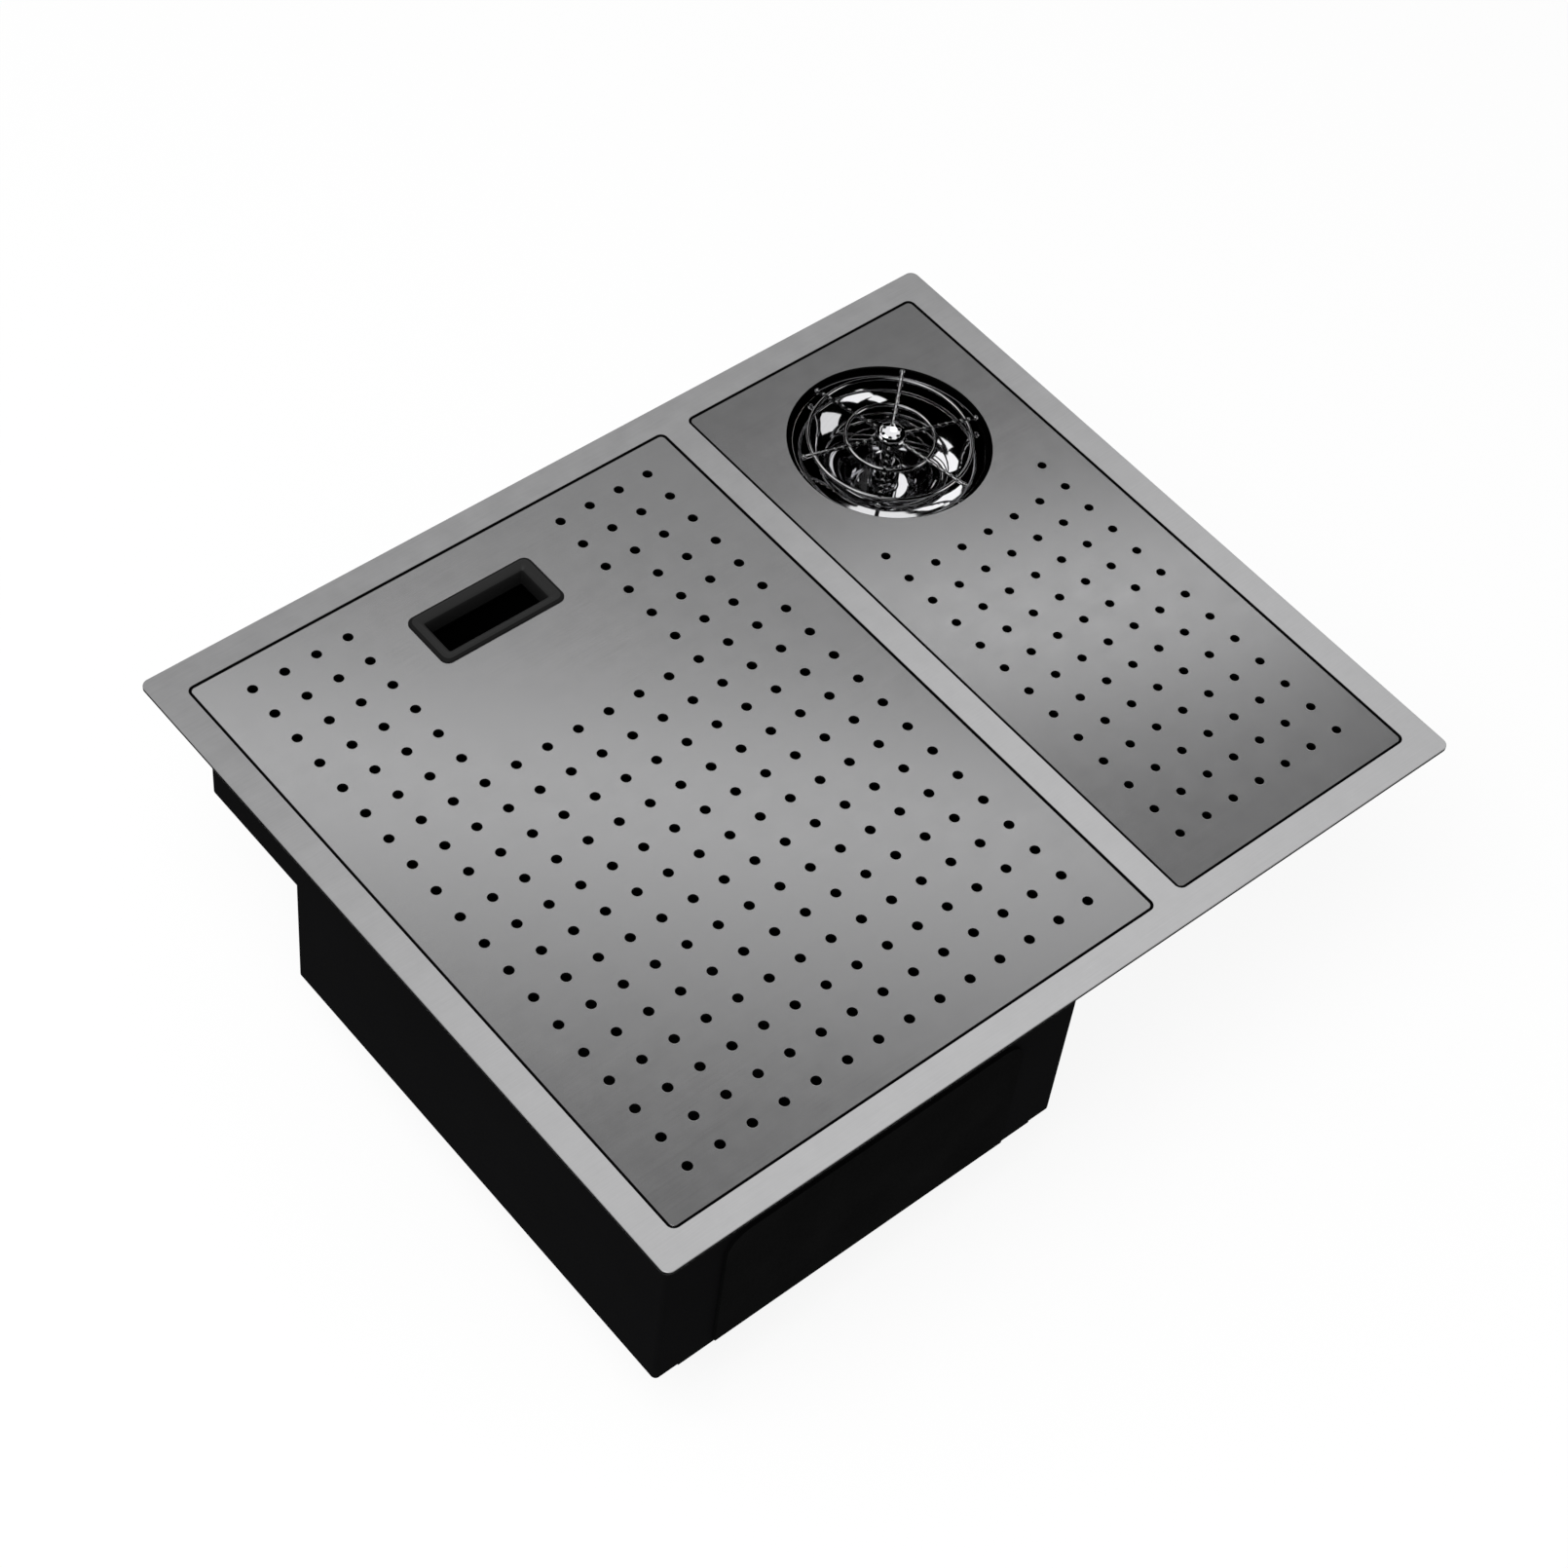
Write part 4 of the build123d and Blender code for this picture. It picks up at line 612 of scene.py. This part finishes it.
# Star, its hub, its cap and the cap's jets
STAR_ARMS, STAR_TURN = 6, math.radians(41.5)
STAR_TIP, STAR_BALL, ARM_WIRE = 0.0538, 0.0017, 0.0011
ARM_AT_HUB, ARM_AT_TIP = 0.0041, 0.0025  # heights of an arm's middle
OUTER_RING, INNER_RING, RING_WIRE = 0.0477, 0.0260, 0.0012
ARM_SIDES, RING_SIDES, RING_STEPS, BEAD_PARTS, BALL_PARTS = 10, 12, 96, (10, 7), (16, 10)
BEAD, BEAD_PITCH, FIRST_BEAD = 0.00125, 0.0044, 0.0115
BEAD_LIFT, RING_DROP = 0.35, 0.6  # of a wire's radius: beads over an arm's middle, rings under it
HUB_RADIUS, HUB_LOW, HUB_HIGH, HUB_EDGE = 0.0090, 0.0005, 0.0055, 0.0006
CAP_PROFILE = [(0.0, 0.0055), (0.0085, 0.0055), (0.0085, 0.0060), (0.0082, 0.0067), (0.0075, 0.0071),
               (0.0062, 0.0074), (0.0040, 0.00755), (0.0, 0.0076)]
JETS, JET_CIRCLE, JET_SIDES = 6, 0.0050, 14
JET_LIP = [(0.0, 0.0070), (0.0013, 0.0070), (0.0013, 0.00745), (0.0012, 0.0076), (0.0011, 0.0076)]
# dark disc of painted shade that closes each jet
JET_MOUTH = [(0.0011, 0.0076), (0.0, 0.00755)]

# Finger frame: its section runs from the outer edge, share 0, to the mouth, share 1
PULL = Vector((-0.094, 0.159, 0.0))
PULL_HALF, PULL_CORNER = (0.0415, 0.0190), 0.005
PULL_MOUTH, PULL_MOUTH_CORNER = (0.0330, 0.0115), 0.0008
PULL_EDGE_SHADE, PULL_MOUTH_SHADE = 0.12, 0.9  # painted shade: darker before the first share and after the second
PULL_FOOT, PULL_SKIRT, PULL_BARB, PULL_BARB_Z = -0.011, 0.003, 0.0008, -0.0027
PULL_SECTION = [(0.0, -0.0003), (0.0, 0.0002), (0.03, 0.0006), (0.10, 0.00105), (0.22, 0.0013),
                (0.34, 0.0014), (0.46, 0.00135), (0.62, 0.0010), (0.80, 0.0003), (0.92, -0.0006),
                (1.0, -0.0018), (1.0, PULL_FOOT)]

# Rinser's valve under the dish; profiles list (radius, height), and a thread or a nut has (foot, top)
THREAD_ROOT, THREAD_CREST, THREAD_PITCH, THREAD_SINK = 0.0094, 0.01048, 0.0018, 0.0001
THREAD_BASE, THREAD_LAND = 0.46, 0.08  # half widths of the ridge at foot and crest, of the pitch
SHANK_THREAD, NIPPLE_THREAD = (-0.0796, -0.0550), (-0.1016, -0.0880)
VALVE_PROFILE = [(0.0043, -0.0158), (0.0076, -0.0158), (0.0083, -0.0161), (0.0086, -0.0168),
                 (0.0086, -0.0352), (0.0092, -0.0358), (0.0143, -0.0358), (0.0150, -0.0365),
                 (0.0150, -0.0388), (0.01048, -0.0388), (0.01048, -0.0550), (THREAD_ROOT, -0.0556),
                 (THREAD_ROOT, -0.0792), (0.0090, -0.0798), (0.0082, -0.0798), (0.0082, -0.0508),
                 (0.0062, -0.0508), (0.0062, -0.0428), (0.0043, -0.0428), (0.0043, -0.0214),
                 (0.0059, -0.0214), (0.0059, -0.0198), (0.0043, -0.0198)]
NIPPLE_PROFILE = [(0.0050, -0.0698), (0.0077, -0.0698), (0.00815, -0.0702), (0.00815, -0.0808),
                  (THREAD_ROOT, -0.0808), (THREAD_ROOT, -0.1014), (0.0090, -0.1018), (0.0050, -0.1018)]
NIPPLE_FLATS, NIPPLE_HEX = 0.027, (-0.0878, -0.0808)
NUT_FLATS, NUT_BORE, NUT_ENDS = 0.030, 0.01058, (-0.0544, -0.0464)
NUT_FACE_SHARE, NUT_BEVEL = 0.99, math.radians(30)
SPRING_ENDS, SPRING_RADIUS, SPRING_WIRE, SPRING_TURNS = (-0.0698, -0.0552), 0.0062, 0.00048, 5
SPRING_CLEARANCE = 1.2 * SPRING_WIRE  # from each end to the wire's middle
SPRING_STEPS, SPRING_SIDES = 28, 8  # steps in each turn, sides of the wire

# Cushions on the seat, and the openings that they lie round
SEAT_Z, CUSHION_THICK, CUSHION_HALF, CUSHION_WIDTH, CUSHION_ROUND = -0.0073, 0.0010, 0.020, 0.007, 0.0003
CUSHION_CORNER = 0.0012
CUSHION_EDGE = ((CUSHION_ROUND, 0.0), (0.0, CUSHION_ROUND), (0.0, CUSHION_THICK - CUSHION_ROUND),
                (CUSHION_ROUND, CUSHION_THICK))  # inset and height of each loop
CUSHION_PLACE_X, CUSHION_PLACE_Y = 0.28, 0.6  # shares of the opening's length and half width
OPENING_ENDS, OPENING_HALF_WIDTH = {"main": (-0.2575, 0.0681), "side": (0.0851, 0.2575)}, 0.2075


def add_piece(name, shape, materials, body, replaced=(), sharp=35.0):
    """Piece from a bmesh that stands in its place, riding on a body; edges past an angle stay sharp."""
    bmesh.ops.remove_doubles(shape, verts=shape.verts, dist=1e-7)
    bmesh.ops.recalc_face_normals(shape, faces=shape.faces)
    mesh = bpy.data.meshes.new(name)
    shape.to_mesh(mesh)
    shape.free()
    for material in materials:
        mesh.materials.append(material)
    mesh.shade_smooth()
    mesh.set_sharp_from_angle(angle=math.radians(sharp))
    piece = add_object(name, mesh)
    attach(piece, body)
    if replaced:
        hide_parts(*replaced)
    return piece


def turned(shape, profile, centre, segments=64, material=0):
    """Adds a lathe shape round an upright axis; profile lists (radius, height) from one end to the other."""
    rings = []
    for radius, height in profile:
        angles = circle_angles(segments) if radius else [0.0]
        rings.append([shape.verts.new(centre + at_angle(radius, angle, height)) for angle in angles])
    for low, high in zip(rings, rings[1:]):
        for i in range(segments):
            j = (i + 1) % segments
            corners = [low[i % len(low)], low[j % len(low)], high[j % len(high)], high[i % len(high)]]
            corners = list(dict.fromkeys(corners))
            if len(corners) > 2:
                shape.faces.new(corners).material_index = material


def grow(tree, points, values):
    """Runs a Geometry Nodes tree on a mesh of points and returns the result as a bmesh."""
    base = bpy.data.meshes.new("growth_points")
    base.from_pydata(points, [], [])
    holder = add_object("growth_source", base)
    modifier = holder.modifiers.new("grow", "NODES")
    modifier.node_group = tree
    for item in tree.interface.items_tree:
        if item.in_out == "INPUT" and item.name in values:
            modifier[item.identifier] = values[item.name]
    graph = bpy.context.evaluated_depsgraph_get()
    grown = bpy.data.meshes.new_from_object(holder.evaluated_get(graph), depsgraph=graph)
    holder.modifiers.remove(modifier)
    bpy.data.objects.remove(holder)
    bpy.data.meshes.remove(base)
    shape = bmesh.new()
    shape.from_mesh(grown)
    bpy.data.meshes.remove(grown)
    return shape


def new_growth(name, sizes):
    """Geometry Nodes tree with its entry and its end; it takes points, sizes by name, and a material."""
    tree = bpy.data.node_groups.new(name, "GeometryNodeTree")
    tree.interface.new_socket(name="Geometry", in_out="INPUT", socket_type="NodeSocketGeometry")
    for label, value in sizes.items():
        socket = tree.interface.new_socket(name=label, in_out="INPUT", socket_type="NodeSocketFloat")
        socket.default_value = value
    tree.interface.new_socket(name="Material", in_out="INPUT", socket_type="NodeSocketMaterial")
    tree.interface.new_socket(name="Geometry", in_out="OUTPUT", socket_type="NodeSocketGeometry")
    return tree, put(tree, "NodeGroupInput").outputs, put(tree, "NodeGroupOutput").inputs


def end_growth(tree, geometry, given, made):
    """Makes instances real, gives them the material and links them to the tree's end."""
    real = put(tree, "GeometryNodeRealizeInstances", {0: geometry}).outputs[0]
    sockets = {"Geometry": real, "Material": given["Material"]}
    tree.links.new(put(tree, "GeometryNodeSetMaterial", sockets).outputs[0], made[0])


def joined(tree, *parts):
    """Join of several geometries."""
    made = put(tree, "GeometryNodeJoinGeometry")
    for part in reversed(parts):
        tree.links.new(part, made.inputs[0])
    return made.outputs[0]


def line_of(tree, start, end):
    """Straight curve."""
    return put(tree, "GeometryNodeCurvePrimitiveLine", {"Start": start, "End": end}).outputs[0]


def circle_of(tree, count, radius):
    """Closed curve round the upright axis."""
    sockets = {"Resolution": count, "Radius": radius}
    return put(tree, "GeometryNodeCurvePrimitiveCircle", sockets).outputs["Curve"]


def swept(tree, curve, profile, capped=False):
    """Mesh of a profile carried along a curve."""
    sockets = {"Curve": curve, "Profile Curve": profile, "Fill Caps": capped}
    return put(tree, "GeometryNodeCurveToMesh", sockets).outputs[0]


def ball_of(tree, segments, rings, radius):
    """Mesh of a ball."""
    sockets = {"Segments": segments, "Rings": rings, "Radius": radius}
    return put(tree, "GeometryNodeMeshUVSphere", sockets).outputs["Mesh"]


def on_points(tree, points, instance, **more):
    """One instance on each point."""
    sockets = {"Points": points, "Instance": instance, **more}
    return put(tree, "GeometryNodeInstanceOnPoints", sockets).outputs[0]


def moved(tree, geometry, by):
    """Geometry moved by a vector."""
    return put(tree, "GeometryNodeTransform", {"Geometry": geometry, "Translation": by}).outputs[0]


def hole_lips():
    """Rolled edge round each drain hole; the points are the holes' centres."""
    sizes = {"Radius": MAIN_HOLE, "Width": LIP_WIDTH, "Rise": LIP_RISE}
    tree, given, made = new_growth("hole_lips", sizes)

    def corner(width_share, rise_share):
        across = maths(tree, "MULTIPLY", given["Width"], width_share)
        return vector_of(tree, across, maths(tree, "MULTIPLY", given["Rise"], rise_share))

    circle = circle_of(tree, LIP_SIDES, given["Radius"])
    inner, crest, outer = (corner(*shares) for shares in LIP_SECTION)
    strips = [swept(tree, circle, line_of(tree, *ends)) for ends in ((inner, crest), (crest, outer))]
    end_growth(tree, on_points(tree, given["Geometry"], joined(tree, *strips)), given, made)
    return tree


def star_growth():
    """Beaded arms with ball ends round the hub, and two rings of round wire under them."""
    sizes = {"Tip": STAR_TIP, "Rise At Hub": ARM_AT_HUB, "Rise At Tip": ARM_AT_TIP, "Arm Wire": ARM_WIRE,
             "Ball": STAR_BALL, "Bead": BEAD, "Bead Pitch": BEAD_PITCH, "First Bead": FIRST_BEAD,
             "Turn": STAR_TURN, "Ring Wire": RING_WIRE, "Outer Ring": OUTER_RING, "Inner Ring": INNER_RING}
    tree, given, made = new_growth("spray_star", sizes)
    fall = maths(tree, "SUBTRACT", given["Rise At Tip"], given["Rise At Hub"])
    slope = maths(tree, "DIVIDE", fall, given["Tip"])

    def height(radius, lift):
        return maths(tree, "ADD", maths(tree, "MULTIPLY_ADD", slope, radius, given["Rise At Hub"]), lift)

    tip = vector_of(tree, given["Tip"], 0.0, given["Rise At Tip"])
    hub = vector_of(tree, 0.0, 0.0, given["Rise At Hub"])
    arm = swept(tree, line_of(tree, hub, tip), circle_of(tree, ARM_SIDES, given["Arm Wire"]), capped=True)
    crown = maths(tree, "MULTIPLY", given["Arm Wire"], BEAD_LIFT)
    reaches = (given["First Bead"], given["Tip"])
    first, last = (vector_of(tree, reach, 0.0, height(reach, crown)) for reach in reaches)
    sockets = {"Curve": line_of(tree, first, last), "Length": given["Bead Pitch"]}
    places = put(tree, "GeometryNodeCurveToPoints", sockets, mode="LENGTH").outputs["Points"]
    beads = on_points(tree, places, ball_of(tree, *BEAD_PARTS, given["Bead"]))
    end = moved(tree, ball_of(tree, *BALL_PARTS, given["Ball"]), tip)
    index = put(tree, "GeometryNodeInputIndex").outputs[0]
    angle = maths(tree, "MULTIPLY_ADD", index, 2 * math.pi / STAR_ARMS, given["Turn"])
    turns = put(tree, "FunctionNodeEulerToRotation", {0: vector_of(tree, z=angle)}).outputs[0]
    middle = put(tree, "GeometryNodePoints", {"Count": STAR_ARMS}).outputs[0]
    arms = on_points(tree, middle, joined(tree, arm, beads, end), Rotation=turns)
    under = maths(tree, "MULTIPLY", given["Ring Wire"], -RING_DROP)
    rings = []
    for radius in (given["Outer Ring"], given["Inner Ring"]):
        section = circle_of(tree, RING_SIDES, given["Ring Wire"])
        wire = swept(tree, circle_of(tree, RING_STEPS, radius), section, capped=True)
        rings.append(moved(tree, wire, vector_of(tree, z=height(radius, under))))
    end_growth(tree, moved(tree, joined(tree, arms, *rings), tuple(RINSER)), given, made)
    return tree


def spread(low, high, count):
    """Count values evenly from low to high."""
    return [low + (high - low) * i / (count - 1) for i in range(count)]


def main_hole_places():
    """Centres of the large cover's drain holes, left out round the finger opening."""
    (left, right), (front, back), (plain_left, plain_right) = MAIN_HOLES_X, MAIN_HOLES_Y, PLAIN_FIELD_X
    outer = spread(left, plain_left, COLUMNS_BESIDE) + spread(plain_right, right, COLUMNS_BESIDE)
    middle = spread(plain_left, plain_right, COLUMNS_ACROSS)[1:-1]
    lower, upper = spread(front, PLAIN_FIELD_Y, ROWS_BEFORE), spread(PLAIN_FIELD_Y, back, ROWS_BESIDE)[1:]
    places = [(x, y) for x in outer + middle for y in lower] + [(x, y) for x in outer for y in upper]
    return [(x, y, COVER_TOP) for x, y in places]


def side_hole_places():
    """Centres of the narrow cover's drain holes, with one more at each end of the last row."""
    places = [(x, y) for x in spread(*SIDE_HOLES_X, SIDE_COLUMNS) for y in spread(*SIDE_HOLES_Y, SIDE_ROWS)]
    return [(x, y, COVER_TOP) for x, y in places + [(x, SIDE_LAST_ROW_Y) for x in SIDE_HOLES_X]]


def make_hole_lips():
    """Rolled hole edges on both covers, in steel painted lighter as a highlight."""
    tree = hole_lips()
    for name, places, radius, body in (("main_hole_lips", main_hole_places(), MAIN_HOLE, "large_cover"),
                                       ("side_hole_lips", side_hole_places(), SIDE_HOLE, "narrow_cover")):
        shape = grow(tree, places, {"Radius": radius, "Material": HOLE_LIP_HIGHLIGHT})
        add_piece(name, shape, [HOLE_LIP_HIGHLIGHT], body)


def make_spray_star():
    """Star on the rinser: hub, arms, beads, balls and rings, with its bright cap and its jets, whose mouths are
    dark discs of painted shade.
    """
    shape = grow(star_growth(), [(0, 0, 0)], {"Material": STAR_METAL})
    hub = [(0.0, HUB_LOW), (HUB_RADIUS - HUB_EDGE, HUB_LOW), (HUB_RADIUS, HUB_LOW + HUB_EDGE),
           (HUB_RADIUS, HUB_HIGH - HUB_EDGE), (HUB_RADIUS - HUB_EDGE, HUB_HIGH), (0.0, HUB_HIGH)]
    turned(shape, hub, RINSER)
    star = add_piece("spray_star_dressed", shape, [STAR_METAL], "spray_head", ["spray_star"])
    shape = bmesh.new()
    turned(shape, CAP_PROFILE, RINSER)
    for angle in circle_angles(JETS):
        jet = RINSER + at_angle(JET_CIRCLE, STAR_TURN + angle)
        turned(shape, JET_LIP, jet, JET_SIDES)
        # jet mouth painted black as the shade in the hole
        turned(shape, JET_MOUTH, jet, JET_SIDES, material=1)
    cap = add_piece("spray_cap_dressed", shape, [CHROME, BLACK_RUBBER_AND_SHADE], "spray_head", ["spray_cap"])
    return star, cap


def rounded_loop(half_x, half_y, corner, centre, steps=8):
    """Points of a level rectangle with round corners."""
    points = []
    for side_x, side_y, start in ((1, 1, 0), (-1, 1, 90), (-1, -1, 180), (1, -1, 270)):
        middle = centre + Vector((side_x * (half_x - corner), side_y * (half_y - corner), 0))
        points += [middle + at_angle(corner, math.radians(start + 90 * i / steps)) for i in range(steps + 1)]
    return points


def bridged(shape, loops, closed=False, capped=False, materials=()):
    """Adds faces between loops of equal count; materials gives each gap's index."""
    loops = [[shape.verts.new(point) for point in loop] for loop in loops]
    pairs = list(zip(loops, loops[1:])) + ([(loops[-1], loops[0])] if closed else [])
    for gap, (low, high) in enumerate(pairs):
        for i in range(len(low)):
            j = (i + 1) % len(low)
            made = shape.faces.new((low[i], low[j], high[j], high[i]))
            made.material_index = materials[gap] if materials else 0
    if capped:
        shape.faces.new(loops[0])
        shape.faces.new(loops[-1])


def threaded(shape, low, high, segments=32):
    """Adds the rinser's thread: a helical ridge that grows out of the core and fades into it."""
    low, high = low + THREAD_PITCH / 2, high - THREAD_PITCH / 2
    count = round((high - low) / THREAD_PITCH * segments)
    fade = segments / 3
    foot = THREAD_ROOT - THREAD_SINK
    sections = []
    for i in range(count + 1):
        angle = 2 * math.pi * i / segments
        middle = low + (high - low) * i / count
        crest = THREAD_ROOT + (THREAD_CREST - THREAD_ROOT) * min(1.0, i / fade, (count - i) / fade)
        corners = ((foot, -THREAD_BASE), (crest, -THREAD_LAND), (crest, THREAD_LAND), (foot, THREAD_BASE))
        sections.append([RINSER + at_angle(radius, angle, middle + share * THREAD_PITCH)
                         for radius, share in corners])
    bridged(shape, sections, capped=True)


def hexagon(shape, flats, bore, low, high, segments=72):
    """Adds a nut round the rinser's axis: a hexagon with both faces turned round, and a bore."""
    face_circle = flats / 2 * NUT_FACE_SHARE
    angles = circle_angles(segments)
    sixth = math.pi / 3
    outline = [flats / 2 / math.cos((angle + sixth / 2) % sixth - sixth / 2) for angle in angles]
    cut = [(radius - face_circle) * math.tan(NUT_BEVEL) for radius in outline]
    faces, bores = [face_circle] * segments, [bore] * segments
    lows, highs = [low] * segments, [high] * segments
    rows = ((bores, lows), (faces, lows), (outline, [low + c for c in cut]),
            (outline, [high - c for c in cut]), (faces, highs), (bores, highs))
    bridged(shape, [[RINSER + at_angle(*place) for place in zip(radii, angles, heights)]
                    for radii, heights in rows], closed=True)


def make_finger_pull():
    """Frame of the finger opening: crowned border that falls into the mouth, skirt and barbs; its outer edge
    and the lip of its mouth are painted darker as shade.
    """
    shape = bmesh.new()

    def loop(share, z):
        half = [outer + (mouth - outer) * share for outer, mouth in zip(PULL_HALF, PULL_MOUTH)]
        corner = PULL_CORNER + (PULL_MOUTH_CORNER - PULL_CORNER) * min(share, 1.0)
        return rounded_loop(*half, corner, PULL + Vector((0, 0, z)))

    loops = [loop(share, z) for share, z in PULL_SECTION]
    skirt = [side + PULL_SKIRT for side in PULL_MOUTH]
    for z in (PULL_FOOT, PULL_SECTION[0][1]):
        loops.append(rounded_loop(*skirt, PULL_SKIRT, PULL + Vector((0, 0, z))))
    # the outer edge and the mouth's lip are painted darker as shade
    dark = [int(share < PULL_EDGE_SHADE or share > PULL_MOUTH_SHADE) for share, z in PULL_SECTION] + [0, 0]
    bridged(shape, loops, closed=True, materials=dark)
    for side in (-1, 1):
        place = PULL + Vector((0, side * (skirt[1] + PULL_BARB / 2), PULL_BARB_Z))
        size = Matrix.Diagonal((skirt[0], PULL_BARB, 2 * PULL_BARB, 1))
        bmesh.ops.create_cube(shape, size=1.0, matrix=Matrix.Translation(place) @ size)
    add_piece("finger_pull_dressed", shape, [PULL_PLASTIC, BLACK_RUBBER_AND_SHADE], "large_cover",
              ["finger_pull_frame"], sharp=50.0)


def make_rinser_valve():
    """Valve body and inlet nipple with their threads, and the lock nut."""
    shape = bmesh.new()
    turned(shape, VALVE_PROFILE + VALVE_PROFILE[:1], RINSER)
    threaded(shape, *SHANK_THREAD)
    valve = add_piece("valve_body_dressed", shape, [CHROME], "sink", ["valve_body"])
    shape = bmesh.new()
    turned(shape, NIPPLE_PROFILE + NIPPLE_PROFILE[:1], RINSER)
    threaded(shape, *NIPPLE_THREAD)
    hexagon(shape, NIPPLE_FLATS, THREAD_ROOT - THREAD_SINK, *NIPPLE_HEX)
    add_piece("inlet_nipple_dressed", shape, [BRASS], "sink", ["inlet_nipple"], sharp=25.0)
    shape = bmesh.new()
    hexagon(shape, NUT_FLATS, NUT_BORE, *NUT_ENDS)
    add_piece("shank_nut_dressed", shape, [BRASS], "sink", ["shank_nut"], sharp=25.0)
    return valve


def make_return_spring():
    """Coil under the poppet, made at one length; the real one is shorter by the travel when the star is
    pressed.
    """
    foot, top = SPRING_ENDS
    low, high = foot + SPRING_CLEARANCE, top - SPRING_CLEARANCE
    count = SPRING_TURNS * SPRING_STEPS
    sections = []
    for i in range(count + 1):
        out = at_angle(1.0, 2 * math.pi * i / SPRING_STEPS)
        middle = RINSER + out * SPRING_RADIUS + Vector((0, 0, low + (high - low) * i / count))
        sections.append([middle + (out * math.cos(angle) + Vector((0, 0, math.sin(angle)))) * SPRING_WIRE
                         for angle in circle_angles(SPRING_SIDES)])
    shape = bmesh.new()
    bridged(shape, sections, capped=True)
    spring = add_piece("return_spring_dressed", shape, [PLAIN_STEEL], "sink",
                       ["return_spring"])
    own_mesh(spring)


def make_cushions():
    """Silicone strips on the seat with rounded edges, eight under each cover."""
    for name, (x0, x1) in OPENING_ENDS.items():
        places = []
        for part in (-1, 1):
            y = part * OPENING_HALF_WIDTH * CUSHION_PLACE_Y
            places += [(x, y, False) for x in (x0 + CUSHION_WIDTH / 2, x1 - CUSHION_WIDTH / 2)]
            x = (x0 + x1) / 2 + part * (x1 - x0) * CUSHION_PLACE_X
            places += [(x, side * (OPENING_HALF_WIDTH - CUSHION_WIDTH / 2), True) for side in (-1, 1)]
        shape = bmesh.new()
        for x, y, lengthwise in places:
            half = (CUSHION_HALF, CUSHION_WIDTH / 2) if lengthwise else (CUSHION_WIDTH / 2, CUSHION_HALF)
            loops = [rounded_loop(half[0] - inset, half[1] - inset, CUSHION_CORNER, Vector((x, y, z)), 4)
                     for inset, z in ((inset, SEAT_Z + rise) for inset, rise in CUSHION_EDGE)]
            bridged(shape, loops, capped=True)
        piece = name + "_cover_cushions"
        add_piece(piece + "_dressed", shape, [SILICONE], "sink", [piece])


# Making

bpy.context.scene.view_settings.view_transform = "Standard"
place_camera()
make_sky()
make_floor()
finish_nodes()

make_hole_lips()
star, cap = make_spray_star()
make_finger_pull()
valve = make_rinser_valve()
make_return_spring()
make_cushions()
light_sink(star, cap, valve)
